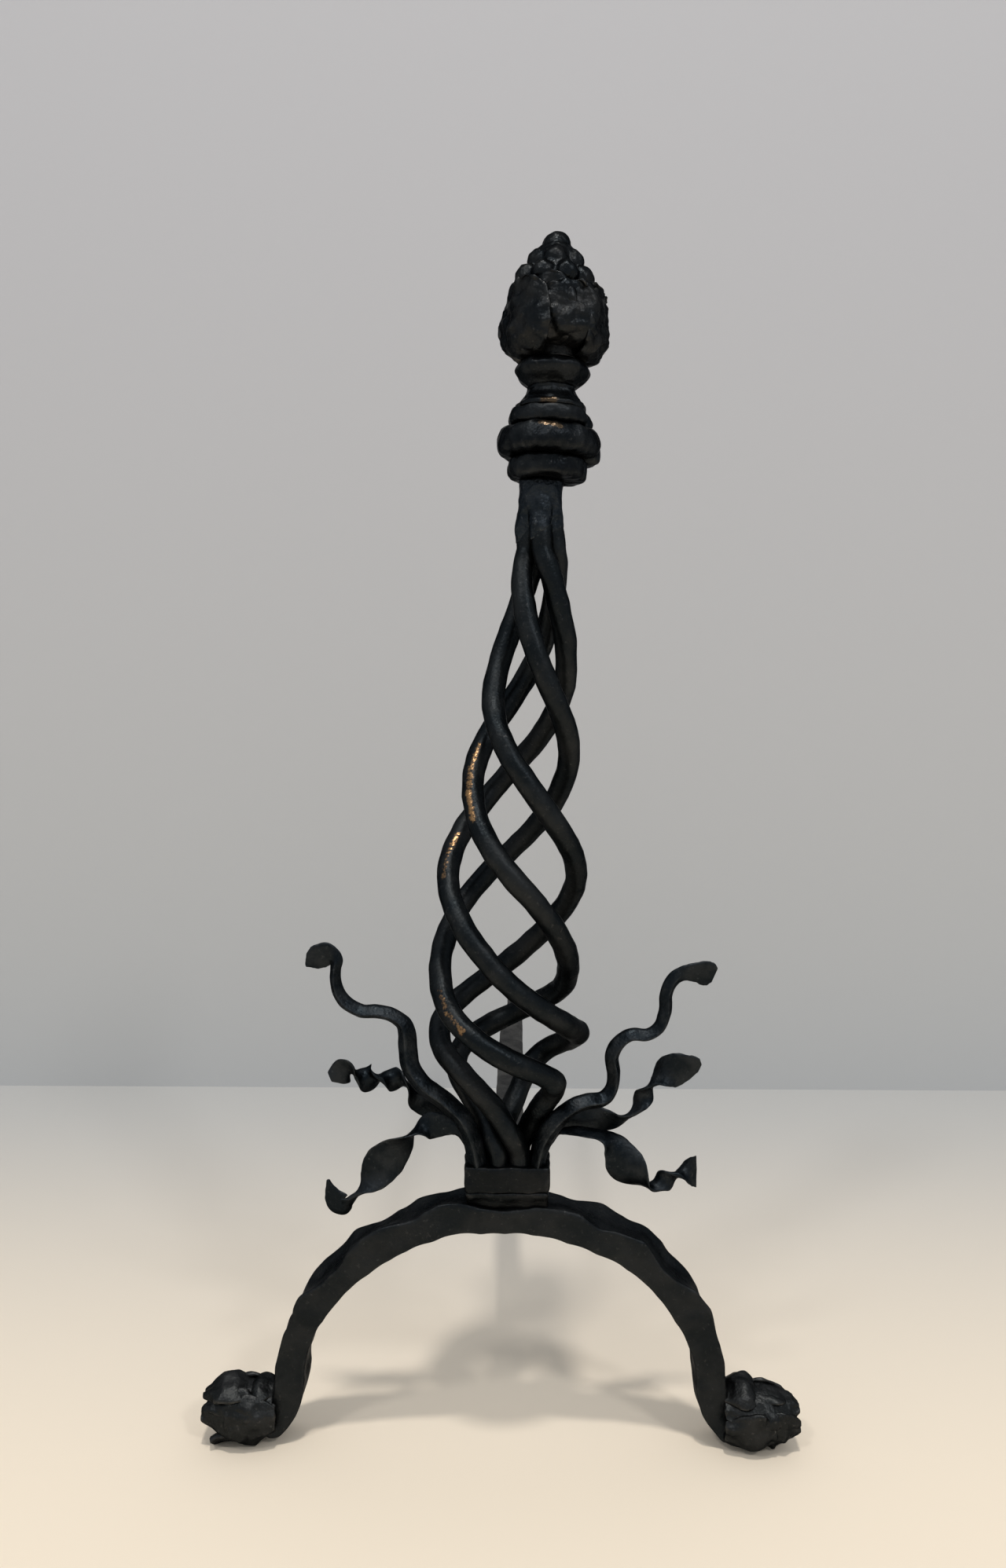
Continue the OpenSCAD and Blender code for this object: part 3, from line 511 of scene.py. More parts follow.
def archStations():  # inner point, outer point, angle and share of the shape, from left toe to right
    turns = range(arch["toeTurn"], 0, -3)
    return ([toeStation(-1, turn) for turn in turns] + [crownStation(180 - 1.5 * i) for i in range(121)]
            + [toeStation(1, turn) for turn in reversed(turns)])


def buildArch():
    a = arch
    rings = []
    across = [-10, -10, -9.75, -8.9, -7, -3.8, 0, 3.8, 7, 8.9, 9.75, 10, 10]
    for inner, outer, angle, share in archStations():
        out = (outer - inner).normalized()
        inner = inner + out * readRow(a["underside"], angle) * share
        thick = (outer - inner).length
        rear = readRow(a["rearRim"], angle, cusped) * share
        front = readRow(a["frontRim"], angle, cusped) * share
        hollow = a["hollow"] * ease(share)
        middle = (rear + front) / 2 - hollow
        top = [thick * 0.6, thick - 1.4 + front * 0.5, thick - 0.3 + front, thick + front,
               thick + front * 0.75 + middle * 0.25, thick + middle * 0.85 + front * 0.15, thick + middle,
               thick + middle * 0.85 + rear * 0.15, thick + rear * 0.75 + middle * 0.25, thick + rear,
               thick - 0.3 + rear, thick - 1.4 + rear * 0.5, thick * 0.6]
        low = [thick * 0.4, 1.3, 0.3, 0, 0, 0, 0, 0, 0, 0, 0.3, 1.3, thick * 0.4]
        ring = []
        for y, h in list(zip(across, top)) + list(zip(across, low))[::-1]:
            point = inner + out * h
            sway = 0.5 * waver((point.x, 0, point.y), 16, 2 if y < 0 else 5)
            ring.append((point.x, y + sway, point.y))
        rings.append(ring)
    piece = skinRings("archBar", rings)
    return forge(piece, blackIron, dent=a["dent"], size=a["dentSize"], sway=0.7, seed=1.7)


settle(buildArch(), "arch_iron", "arch_bar")
print("arch bent and hammered")


# A petal of a foot or of the bud. Rows are radius, height, half angle and thickness, from root to
# tip. One side edge stands higher than the other by twice the lift, the edges wander by the ruffle,
# and the relief raises a rim and a middle rib.
def petalRings(rows, place, lift, ruffle, seed, relief=0.0, sweep=0.0, across=14, steps=5):
    fine = smoothRows(rows, steps)
    rings = []
    for i, (radius, height, half, thick) in enumerate(fine):
        ahead, behind = fine[min(i + 1, len(fine) - 1)], fine[max(i - 1, 0)]
        along = Vector((ahead[0] - behind[0], ahead[1] - behind[1])).normalized()
        v = i / (len(fine) - 1)
        body = math.sin(math.pi * v)
        outer, inner = [], []
        for k in range(across + 1):
            u = 2 * k / across - 1
            wave = ruffle * (abs(u) ** 3 * noise.noise(Vector((u * 1.5, v * 5.0, seed)))
                             + 0.5 * noise.noise(Vector((u * 2.2, v * 3.0, seed + 9))))
            rib = math.exp(-(u * 5 - noise.noise(Vector((v * 3, seed, 1.0))) * 1.5) ** 2)
            raised = ease((abs(u) - 0.55) / 0.3) - 0.4 + 0.7 * rib
            r = radius + u * lift + wave + relief * raised * body
            z = height + ruffle * 0.6 * v * v * noise.noise(Vector((u * 2.4, seed * 1.7, 4.0)))
            angle = math.radians(u * half + sweep * v)
            t = thick * (1 - 0.5 * u * u)
            outer.append(place(r, angle, z))
            inner.append(place(r - along.y * t, angle, z + along.x * t))
        rings.append(outer + inner[::-1])
    return rings


foot = {
    "axisX": 114.0, "axisY": -3.3, "axisZ": 15.9, "lift": 0.4, "ruffle": 2.2, "thick": 3.4, "relief": 0.45,
    # a lobe shorter than this is a stub, thicker and with its middle raised
    "stub": 18.5, "stubThick": 1.4, "stubLift": -1.3, "stubRelief": -0.7,
    # radius and place along the axis
    "core": [(0.3, 0), (8.4, 0.4), (9.5, 6), (10.2, 13), (9.6, 22), (7.4, 28), (4.4, 31), (0.3, 32)],
    # petals 1 to 5, then the core's own: angle from the top towards the front, start and end along
    # the axis, half width in degrees, radius at the root, the belly and the tip, where the belly
    # lies along the petal, and how far the petal sweeps round towards its tip
    "left": [(92, -1.5, 24, 60, 11.5, 15.6, 13.6, 0.5, 8), (76, -1.5, 36.8, 50, 9.5, 15.2, 7.8, 0.45, 0),
             (-6, 6, 37, 60, 8.5, 17.2, 9, 0.52, 0), (-10, -1, 14.5, 60, 12, 15.6, 10.6, 0.52, 0),
             (-136, -3, 31, 60, 11, 15.8, 10.5, 0.4, 0),
             (150, 2, 32, 27, 11.5, 14.2, 15.7, 0.4, 0), (26, 0, 34.5, 60, 11.5, 14, 8, 0.42, 0),
             (-70, -1, 34, 54, 10, 15.2, 8.5, 0.4, 0)],
    "right": [(112, -1.5, 24.5, 54, 12.5, 16.4, 14.2, 0.6, 12),
              (40, -1.5, 36.6, 57, 11.5, 14.5, 7.8, 0.45, -6),
              (-4, -1, 17, 62, 13.5, 17.7, 12.6, 0.52, 0), (-66, -2, 33, 56, 12, 15.2, 9, 0.4, 0),
              (-140, -3, 31, 58, 11, 15.6, 10.5, 0.4, 0),
              (104, 1, 37.5, 48, 10, 13.8, 8.8, 0.6, 6), (158, 2, 34, 44, 11, 14.8, 9.5, 0.5, 0),
              (-10, 0, 35.5, 56, 11.5, 13.6, 7.6, 0.5, 0)],
}


def footPlace(side, turn):
    def place(r, angle, z):
        a = angle + math.radians(turn)
        return (side * (foot["axisX"] + z), foot["axisY"] - r * math.sin(a), foot["axisZ"] + r * math.cos(a))
    return place


def footPetal(side, i, spec):
    f = foot
    turn, start, end, half, root, belly, tip, peak, sweep = spec
    n = end - start
    t, lift, relief = f["thick"], f["lift"], f["relief"]
    if n < f["stub"]:
        t, lift, relief = t * f["stubThick"], f["stubLift"], f["stubRelief"]
    # shares along, radius, and shares of the half width and of the thickness
    shape = [(0, root, 0.62, 0.7), (peak * 0.4, root * 0.5 + belly * 0.5, 0.84, 1),
             (peak * 0.8, belly * 0.98, 0.98, 1), (peak * 1.15, belly, 1, 1),
             (peak * 0.57 + 0.43, belly * 0.78 + tip * 0.22, 0.98, 1),
             (0.88, belly * 0.3 + tip * 0.7, 0.82, 1), (0.96, tip * 1.05, 0.6, 0.9), (1, tip * 0.9, 0.3, 0.7)]
    rows = [(r, start + n * along, half * wide, t * thick) for along, r, wide, thick in shape]
    return petalRings(rows, footPlace(side, turn), lift, f["ruffle"], i * 3.3 + side * 1.5, relief, sweep)


def forgeFoot(piece, seed):
    return forge(piece, footIron, dent=1.6, size=6, sway=2.2, swaySize=12, seed=seed)


def buildFoot(side, name):
    f = foot
    petals = [footPetal(side, i, spec) for i, spec in enumerate(f[name])]
    for i, rings in enumerate(petals[:5]):
        piece = forgeFoot(skinRings(f"{name}FootPetal{i + 1}", rings), i + side)
        settle(piece, "arch_iron", f"{name}_foot_petal_{i + 1}")
    line = smoothRows(f["core"], 3)
    plug = [[footPlace(side, 0)(r, math.tau * j / 30, z) for j in range(30)] for r, z in line]
    core = joinRings(name + "FootCore", [plug] + petals[5:])
    settle(forgeFoot(core, side + 4), "arch_iron", name + "_foot_core")


buildFoot(-1, "left")
buildFoot(1, "right")
print("rosette feet wrapped")

# The band stands proud at the front, and the seat under it steps back behind the arch's front rim.
# Levels are height, front, rear and inset of the sides
collar = {"left": -17.3, "right": 24.8, "corner": 0.8, "seed": 3, "levels": [
    (132.4, -11.5, 11.4, 1.1), (132.7, -12.2, 12.1, 0.4), (133.8, -12.5, 12.3, 0.1),
    (137, -12.6, 12.4, 0), (141, -12.6, 12.4, -0.1), (144, -12.5, 12.3, -0.3),
    (145.2, -12.1, 12, 0.1), (145.6, -11.4, 11.4, 0.8)]}
seat = {"left": -16.4, "right": 24, "corner": 0.7, "seed": 6, "levels": [
    (121.8, -7.4, 11, 1), (123.6, -8, 11.8, 0.3), (125.6, -8.6, 12.1, 0.1),
    (127.4, -9.4, 12.1, 0), (128.8, -10.8, 12.2, -0.1), (130.2, -11.9, 12.2, -0.2),
    (131.9, -12.3, 12.2, -0.2), (132.6, -12.2, 11.9, 0.2)]}


def buildBlock(name, block, steps=14):  # every level is a rectangle with soft corners
    levels, corner, seed = block["levels"], block["corner"], block["seed"]
    verts, faces = [], []
    for z, front, rear, inset in levels:
        x0, x1 = block["left"] + inset, block["right"] - inset
        corners = [(x0, front, 1, 0), (x1, front, 0, 1), (x1, rear, -1, 0), (x0, rear, 0, -1)]
        for cx, cy, ux, uy in corners:
            length = (x1 - x0) if ux else (rear - front)
            for k in range(steps):
                s = length * k / steps
                near = min(s, length - s)
                inwards = corner * max(0.0, 1 - near / (corner * 2)) ** 2 * 0.6
                x, y = cx + ux * s - uy * inwards, cy + uy * s + ux * inwards
                verts.append((x + 0.6 * waver((x, y, z), 8, seed), y + 0.7 * waver((x, y, z), 7, seed + 3),
                              z + 0.5 * waver((x, y, z), 9, seed + 5)))
    around = steps * 4
    for i in range(len(levels) - 1):
        for j in range(around):
            k = (j + 1) % around
            faces.append((i * around + j, i * around + k, (i + 1) * around + k, (i + 1) * around + j))
    faces += [tuple(range(around)), tuple(range((len(levels) - 1) * around, len(levels) * around))]
    piece = meshPiece(name, verts, faces)
    return forge(piece, collarIron, dent=0.9, size=7, sway=0.9, swaySize=12, seed=seed)


settle(buildBlock("collarBand", collar), "arch_iron", "collar")
settle(buildBlock("seatBlock", seat), "arch_iron", "seat_block")
print("collar and seat in place")

# The basket twist: four rods that swell apart over the collar and run together in the stem
basket = {
    "postX": 3.5, "postZ": 145.4, "height": 307.0, "radius": 34.5, "rod": 5.45, "root": 5.2, "weld": 4.9,
    "sides": 28, "step": 1.4,
    # share of the height, share of the radius, turn in degrees, drift to the right as a share
    "stations": [(0.02, 0.22, 670, 0.03), (0.045, 0.27, 645, 0.03), (0.085, 0.41, 615, 0.04),
                 (0.15, 0.84, 590, 0.04), (0.215, 1.02, 525, -0.09), (0.31, 0.93, 450, -0.045),
                 (0.47, 0.93, 365, 0.07), (0.61, 0.715, 290, 0.19), (0.785, 0.51, 190, 0.35),
                 (0.94, 0.3, 125, 0.455), (0.985, 0.215, 93, 0.485)],
    # height, radius, turn and drift, in the collar, at the weld and inside the stem
    "rootRow": (0, 7.46, 675, 1), "weldRow": (307, 7.13, 90, 16.73), "sunkRow": (314, 5.3, 90, 17.1),
    "rootLow": -12.5,
    # how far each rod strays, swells and leads, and where: the strays fade at both ends
    "stray": [-6, 12, 8, 1], "swell": [-0.13, 0.03, 0.1, 0.1], "lead": [-20, -18, 3, 8],
    "strayEnd": 60, "swellAt": 40, "swellStart": 8, "swellRun": 22,
    "nibs": [(2, 66, 2.6), (1, 47, 2.2)],  # rod, height and reach of the sharp elbows
    "dent": 0.75, "dentSize": 9.0,
    # streaks of rubbed wear and painted highlight, on the left side of a rod where it catches the light: rod,
    # heights of the ends, how far towards the left of the rod, and reach
    "rubs": [(3, 172, 184, 0.3, 2.2), (3, 184, 196, 0.3, 2.4), (3, 196, 208, 0.3, 2),
             (2, 142, 152, 0.25, 2.1), (2, 152, 163, 0.25, 2.3), (1, 73.5, 80.5, 0, 2.2),
             (1, 80.5, 88.5, 0.05, 2.3)],
}


def nibs(k, h, run):  # how much of the sharp elbows a rod has at a height
    return [out * math.exp(-abs(h - high) / run) for rod, high, out in basket["nibs"] if rod == k]


def rodPoint(row, k):
    b = basket
    h, radius, turn, drift = row
    stray = b["stray"][k] * ease(h / b["strayEnd"]) * ease((b["height"] - h) / b["strayEnd"])
    swell = math.exp(-((h - b["swellAt"]) / b["swellRun"]) ** 2) * ease((h - b["swellStart"]) / b["swellRun"])
    r = radius + b["swell"][k] * b["radius"] * swell + sum(nibs(k, h, 4))
    a = math.radians(turn + 90 * k + stray + b["lead"][k] * swell)
    return (b["postX"] + drift + r * math.cos(a), r * math.sin(a), b["postZ"] + h)


def rodRows():
    b = basket
    middle = [(high * b["height"], out * b["radius"], turn, drift * b["radius"])
              for high, out, turn, drift in b["stations"]]
    return smoothRows([b["rootRow"]] + middle + [b["weldRow"], b["sunkRow"]], 20)


def rodRadius(h, k):
    b = basket
    grown = (b["rod"] - b["root"]) * ease(h / 20)
    drawn = (b["weld"] - b["rod"]) * ease((h - b["height"] + 30) / 30)
    radius = (b["root"] + grown + drawn) * (1 + 0.035 * waver((k * 40, 0, h), 14, 3))
    return radius + 0.25 * sum(nibs(k, h, 2.5))


# The rods' iron, with streaks that are partly rubbed wear and partly painted highlights
def buildRodIron():
    b = basket
    rows = rodRows()
    streaks = []
    for k, low, high, left, reach in b["rubs"]:
        ends = []
        for h in (low, high):
            x, y, z = rodPoint(next(row for row in rows if row[0] >= h), k)
            ends.append((x - left * b["rod"], y - math.sqrt(1 - left * left) * b["rod"], z))
        streaks.append((*ends, reach))
    return ironFinish("rodIron", varied({"Dark": (0.0125, 0.0155, 0.018, 1), "Ridge Wear": 0.15}, bump=0.5),
                      streaks)


def buildRods():
    b = basket
    rows = rodRows()
    for k in range(4):
        points = [rodPoint((b["rootLow"], *b["rootRow"][1:]), k)] + [rodPoint(row, k) for row in rows]
        thickness = [b["root"] * mm] + [rodRadius(row[0], k) * mm for row in rows]
        piece = linePiece(f"cageRod{k + 1}", points, thickness)
        runTree(piece, roundBar, {"Sides": b["sides"], "Step": b["step"] * mm,
                                  **marks(b["dent"], b["dentSize"], 0.7, 16, 2 + k, rodIron)})
        settle(piece, "rod_iron", f"cage_rod_{k + 1}")


rodIron = buildRodIron()
buildRods()
print("basket rods twisted")

# Sprigs: rows of x, y, z, width, thickness and twist, from the middle of the collar's top
sprigs = {
    "leftTendril": [
        (-17.5, -8.5, 14, 9.5, 7, 0), (-22, -9.5, 24, 9.5, 7, 0), (-31, -10, 33, 9.5, 7, 0),
        (-41, -10, 40.5, 9.5, 7, 0), (-47.5, -9, 49.5, 9.5, 6.5, 0), (-49, -8, 58, 9.5, 6.5, 0),
        (-49.5, -8, 66, 9, 6.5, 0), (-51.5, -8, 71.5, 8, 6, 0), (-57.5, -8, 75.5, 7, 6, 0),
        (-64.5, -8, 77, 6.5, 6, 0), (-71.5, -8, 77, 6.5, 6, 0), (-78.5, -8, 80.5, 6.5, 6, 0),
        (-82.5, -8, 85.5, 6, 5.5, 0), (-84.5, -8, 92, 6, 5, 0), (-84.5, -8, 98.5, 5.5, 4, 0),
        (-84, -8, 103.5, 6.5, 3, 0), (-87.5, -8, 107, 9, 2.5, 0), (-91.5, -8, 104.8, 13, 2.2, 0),
        (-95.3, -8, 102.4, 10.5, 2, 0), (-97.6, -8, 100.8, 5, 1.8, 0), (-98.8, -8, 99.8, 1.2, 1.6, 0)],
    "leftLowerLeaf": [
        (-18, 0, 10, 9, 6, 0), (-22, -1, 15.5, 9, 4.5, 0), (-28, -2, 18, 10, 3.2, 10),
        (-37.5, -3, 18, 14, 2.4, 10), (-45, -4, 16, 9, 2.4, 90), (-52.5, -4, 9, 18, 2.2, 150),
        (-60.5, -4, 0.5, 20.5, 2.2, 180), (-68, -4, -9, 15, 2.2, 215), (-73.5, -4, -15.5, 7.5, 3, 275),
        (-76.4, -4, -18, 5.5, 2.8, 308), (-79.4, -4, -21, 7.5, 2.4, 334), (-82.8, -4, -22.6, 14, 2, 354),
        (-86.2, -4, -19.2, 12.5, 1.8, 358), (-88.4, -4, -14.5, 6, 1.7, 360),
        (-89.8, -4, -9.8, 1.2, 1.6, 360)],
    "leftUpperLeaf": [
        (-17.5, 8.5, 11, 8.5, 6, 0), (-23, 8.5, 17, 10, 4.5, 0), (-33, 7.5, 22.5, 15, 3, -10),
        (-42.5, 6, 29, 17, 2.4, 0), (-49, 6, 35, 11, 3, 80), (-56, 6, 38, 13.5, 2.6, 165),
        (-63, 6, 39.5, 9, 4.2, 260), (-69.5, 6, 38.8, 15, 2.8, 345), (-75.5, 6, 41, 9.5, 4, 430),
        (-80, 6, 43.2, 15.5, 2.4, 498), (-85.5, 6, 41.6, 12, 2, 532), (-90, 6, 39.6, 5, 1.8, 545)],
    "rightTendril": [
        (18.5, -9, 13, 9, 7, 0), (23, -12.5, 22, 9.5, 7, 0), (30.5, -14, 30, 8.5, 6.5, 0),
        (39, -12.5, 33.5, 8, 6.5, 0), (47.5, -10, 34, 7.5, 6, 0), (52, -9, 39, 6.5, 6, 0),
        (53, -9, 47, 6.5, 6, 0), (52, -9, 55, 7, 6, 0), (55, -9, 61.5, 7, 6, 0),
        (61, -9, 66, 6.5, 6, 0), (69.5, -9, 66, 6.5, 5.5, 0), (75.5, -9, 70.5, 6.5, 5.5, 0),
        (78, -9, 78, 6.5, 5, 0), (78.5, -9, 86.5, 6.5, 4.5, 0), (81.5, -9, 93.5, 7, 4, 0),
        (86.5, -9, 97, 8, 3, 0), (92.5, -9, 97.5, 11, 2.6, 0), (97, -9, 97.2, 13.8, 2.4, 0),
        (100, -9, 96.6, 12.6, 2.2, 0), (101.8, -9, 96, 8, 2, 0)],
    "rightLowerLeaf": [
        (18.5, 0, 8.5, 7.5, 6, 0), (23.5, 0, 13, 7.5, 4, 50), (30, -1, 15, 9, 2.4, 88),
        (39, -3, 15, 10, 2.4, 92), (49, -4, 13, 11, 2.4, 100), (54, -4, 7.5, 15, 2.4, 140),
        (60, -4, -2, 20, 2.4, 180), (67, -4, -9.5, 16, 2.4, 220), (73, -4, -12.2, 8, 3.2, 270),
        (79.5, -4, -8.8, 10.5, 2.6, 345), (86, -4, -5.6, 8, 3.6, 435), (90.8, -4, -4.6, 13, 2.2, 515),
        (94.8, -4, -4.4, 18, 1.8, 540)],
    "rightUpperLeaf": [
        (19.5, 8, 10, 8, 6, 0), (24.5, 8, 15, 10, 4.5, 0), (31, 7, 18.5, 13, 3.2, 0),
        (39, 6, 19.5, 14, 2.4, -5), (49, 6, 18, 13, 2.4, 10), (57, 6, 18, 11, 2.4, 40),
        (64.5, 6, 22.5, 8, 3.2, 90), (69.5, 6, 30.5, 10.5, 2.4, 180), (74, 6, 37.5, 8, 3.2, 270),
        (79, 6, 41.5, 14, 2.2, 330), (84.5, 6, 44, 17.5, 2.2, 358), (91, 6, 46, 14, 2, 366),
        (95.5, 6, 47.6, 8.5, 1.9, 372), (97.8, 6, 48.4, 3.5, 1.8, 376)],
}
sprigRoots = {"leftX": -14.475, "leftWide": 9.6, "rightX": 15.475, "rightWide": 7.6, "step": 7.05,
              "deep": 6.9}
sprigOrder = [  # name, node, place in the collar's depth, and how sharp a bar's ridge line is
    ("leftTendril", "left_tendril", -1, 1), ("leftUpperLeaf", "left_upper_leaf", 1, 0.1),
    ("leftLowerLeaf", "left_lower_leaf", 0, 0.1), ("rightTendril", "right_tendril", -1, 1),
    ("rightUpperLeaf", "right_upper_leaf", 1, 0.1), ("rightLowerLeaf", "right_lower_leaf", 0, 0.1)]


def buildSprig(name, depth, ridge, seed):
    hand = "left" if name.startswith("left") else "right"
    x, wide, deep = sprigRoots[hand + "X"], sprigRoots[hand + "Wide"], sprigRoots["deep"]
    y = depth * sprigRoots["step"]
    rows = [(x, y, 0, wide, deep, 0), (x * 1.07, y * 1.06, 5.2, wide * 0.98, deep, 0)] + sprigs[name]
    fine = [(x, y, basket["rootLow"], wide, deep, 0)] + smoothRows(rows, 8)
    path = [Vector(row[:3]) for row in fine]
    rings = []
    for i, (along, side, other) in enumerate(carried(path, Vector((1, 0, 0)))):
        if i <= 1:
            along, side, other = Vector((0, 0, 1)), Vector((1, 0, 0)), Vector((0, 1, 0))
        wide, deep, twist = fine[i][3] / 2, fine[i][4] / 2, math.radians(fine[i][5])
        a = side * math.cos(twist) + other * math.sin(twist)
        b = along.cross(a)
        flat = ease((fine[i][3] / fine[i][4] - 1.5) / 2)  # 0 on a bar, 1 on a leaf
        ragged = 0.5 * waver((i * 1.6, 0, 0), 4, seed) * flat
        ring = []
        keen = ridge * (1 - flat)  # how far a bar's front rises to its ridge line
        for u, h in ((-1, -0.4 + 0.35 * keen), (-0.84, -0.9 + 0.55 * keen), (-0.5, -1 + 0.1 * keen),
                     (-0.05, -1 - 0.55 * keen), (0.05, -1 - 0.55 * keen), (0.5, -1 + 0.1 * keen),
                     (0.84, -0.9 + 0.55 * keen), (1, -0.4 + 0.35 * keen), (1, 0.45), (0.84, 0.9), (0.5, 1),
                     (0.09, 1), (-0.09, 1), (-0.5, 1), (-0.84, 0.9), (-1, 0.45)):
            lens = 1 - 0.35 * flat * abs(u)
            ring.append(path[i] + a * (u * (wide + ragged)) + b * (h * deep * lens)
                        + Vector((basket["postX"], 0, basket["postZ"])))
        rings.append(ring)
    return forge(skinRings(name, rings), leafIron, dent=0.45, size=6.5, sway=0.6, swaySize=14, seed=seed)


for number, (name, node, depth, ridge) in enumerate(sprigOrder):
    settle(buildSprig(name, depth, ridge, number + 0.5), "leaf_iron", node)
print("sprigs curled")

# The stem, where the four rods are welded into one, and the finial above it
stem = {"x": 18.7, "low": 452.4, "length": 29.8, "drift": 1.6, "top": 10.5, "bundle": 7.13, "rod": 4.9,
        "sunk": 1.3}
finial = {"x": 23.2, "z": 482.2, "lean": math.radians(2.5), "bore": 5.2}


def finialPlace(r, angle, z, shift=(0.0, 0.0)):
    x, y = r * math.cos(angle) + shift[0], r * math.sin(angle) + shift[1]
    lean = finial["lean"]
    return (finial["x"] + x * math.cos(lean) + z * math.sin(lean), y,
            finial["z"] - x * math.sin(lean) + z * math.cos(lean))


def buildStem(levels=26, sides=48):
    f = stem
    made = []
    for i in range(levels + 1):
        t = i / levels
        lean = finial["lean"] * t
        ring = []
        for j in range(sides):
            a = math.tau * j / sides
            off = (a + math.pi / 4) % (math.pi / 2) - math.pi / 4
            rodSide = max(0.0, f["rod"] ** 2 - (f["bundle"] * math.sin(off)) ** 2)
            lobe = f["bundle"] * math.cos(off) + math.sqrt(rodSide)
            r = lobe + (f["top"] - lobe) * ease(t * 1.3) - f["sunk"] * (1 - ease(t * 4))
            uneven = 0.9 * waver((4 * math.cos(a), 4 * math.sin(a), t * 9), 2.2, 8)
            r += uneven * math.sin(math.pi * min(t + 0.2, 1))
            ring.append((f["x"] + f["drift"] * t + r * math.cos(a) * math.cos(lean), r * math.sin(a),
                         f["low"] + f["length"] * t - r * math.cos(a) * math.sin(lean)))
        made.append(ring)
    return forge(skinRings("weldedStem", made), stemIron, dent=0.9, size=4.5, sway=0.9, swaySize=9, seed=5)


settle(buildStem(), "stem_iron", "stem")

# Bars wrapped round the pin: heights, radius, angle of the cut, how far the face drops towards it,
# and the rim's radius at four heights
wrappedRings = {
    "lowerRing": {"node": "lower_ring", "low": 0, "high": 10.4, "reach": 19.2, "cut": -16,
                  "drop": 0.1, "profile": (0.94, 1.0, 0.99, 0.97), "shift": -0.4},
    "bigRing": {"node": "big_ring", "low": 10.4, "high": 24.4, "reach": 25.2, "cut": -8,
                "drop": 2.4, "profile": (0.95, 1.0, 0.98, 0.86), "shift": -0.1},
    "shoulderRing": {"node": "shoulder_ring", "low": 24.4, "high": 33, "reach": 20.1, "cut": -24,
                     "drop": 1.2, "profile": (0.96, 1.0, 0.98, 0.9), "shift": 0.0},
}


def buildWrappedRing(name, r, seed, sides=108):
    half = (r["high"] - r["low"]) / 2
    middle = r["low"] + half
    low, belly, upper, top = r["profile"]
    # shares of the way from the bore to the rim, and of the half height
    line = [(0, -0.98), (0.5, -1), (0.84, -0.97), (low, -0.82), (belly, -0.45), (1, -0.1), (upper, 0.3),
            (top * 0.5 + 0.5, 0.62), (top, 0.86), (0.72, 0.98), (0.5, 1), (0, 0.98)]
    made = []
    for j in range(sides):
        angle = math.tau * j / sides
        past = (angle - math.radians(r["cut"])) % math.tau
        drop = r["drop"] * (ease(1 - past / 1.7) if past < 1.7 else 0.0)
        notch = 1.6 * math.exp(-(min(past, math.tau - past) / 0.07) ** 2)
        ring = []
        for share, h in line:
            reach = finial["bore"] + (r["reach"] - finial["bore"]) * share
            if share:
                reach += 0.6 * waver((angle * 14, h * 3, 1), 6, seed) - (notch if abs(h) < 0.95 else 0)
                if past < 0.3:  # the bar's ragged end
                    reach += 0.7 * waver((angle * 60, h * 4, 3), 3, seed + 2)
            z = middle + half * h * (1 - 0.06 * abs(waver((angle * 8, 0, 2), 3, seed))) - drop
            z += 0.4 * waver((angle * 12, h * 4, 0), 4, seed)
            ring.append(finialPlace(reach, angle, z, (r["shift"], 0)))
        made.append(ring)
    piece = skinRings(name, made, wrapped=True)
    return forge(piece, neckIron, dent=1.25, size=5.5, sway=1.7, swaySize=13, seed=seed)


for number, (name, ring) in enumerate(wrappedRings.items()):
    settle(buildWrappedRing(name, ring, number + 11.0), "stem_iron", ring["node"])

turnedRings = {  # rows of radius and height
    "neckFlare": {"node": "neck", "seed": 21, "rows": [
        (5.2, 33), (15.8, 33), (17, 33.8), (16.8, 35.2), (15.4, 36.2), (14.6, 37.8), (12.2, 40.4),
        (11.1, 42.4), (10.9, 44.1), (5.2, 44.1)]},
    "upperRing": {"node": "upper_ring", "seed": 22, "rows": [
        (5.2, 43.8), (10.9, 43.9), (12.7, 45.2), (16.2, 47.8), (17.8, 50.1), (18, 52.1), (16.5, 54.4),
        (13.6, 55.8), (12.4, 56.1), (5.2, 56.1)]},
}


def buildTurned(name, rows, seed, sides=72):
    line = smoothRows(rows, 3)
    made = []
    for j in range(sides):
        angle = math.tau * j / sides
        x, y = math.cos(angle) * 9, math.sin(angle) * 9
        made.append([finialPlace(r + 0.6 * waver((x, y, z), 5, seed) * min(1, r / 8), angle, z)
                     for r, z in line])
    piece = skinRings(name, made, wrapped=True)
    return forge(piece, neckIron, dent=1.4, size=6, sway=0.5, swaySize=10, seed=seed)


for name, ring in turnedRings.items():
    settle(buildTurned(name, ring["rows"], ring["seed"]), "stem_iron", ring["node"])
print("stem and rings done")

# The bud: two layers of petals round a cup
bud = {
    "z": 56.0, "thick": 3.0, "lift": 1.3, "ruffle": 1.8, "relief": 1.1, "shift": 0.2,
    # turn, foot and tip heights, radius at the belly, half width in degrees and radius at the foot
    "outer": [(-6, 0, 33, 25.6, 46, 13), (68, 0.6, 32, 25, 44, 12.5),
              (142, 0.6, 32, 23.8, 37, 12.5), (-142, 0.4, 34, 25.8, 46, 13),
              (-76, 4.5, 32, 25.4, 38, 13.5)],
    "inner": [(32, 4, 34, 21, 44, 12), (104, 4, 34, 21, 44, 12),
              (178, 4, 35, 21.2, 44, 12), (-110, 5, 36, 22, 44, 12),
              (-38, 4.5, 35, 22, 44, 12)],
    "seeds": {"outer": (1, 31), "inner": (17, 41)},  # of the ruffles and of the hammer marks
    # radius and height
    "cup": [(0.3, 0.1), (12.6, 0.1), (13.4, 1.2), (13.2, 6), (13, 11), (15, 15.2), (14.6, 21.3),
            (12.8, 27.7), (0.3, 27.8)],
}


def budPlace(turn):
    def place(r, angle, z):
        return finialPlace(r, angle + math.radians(turn), bud["z"] + z, (bud["shift"], 0))
    return place


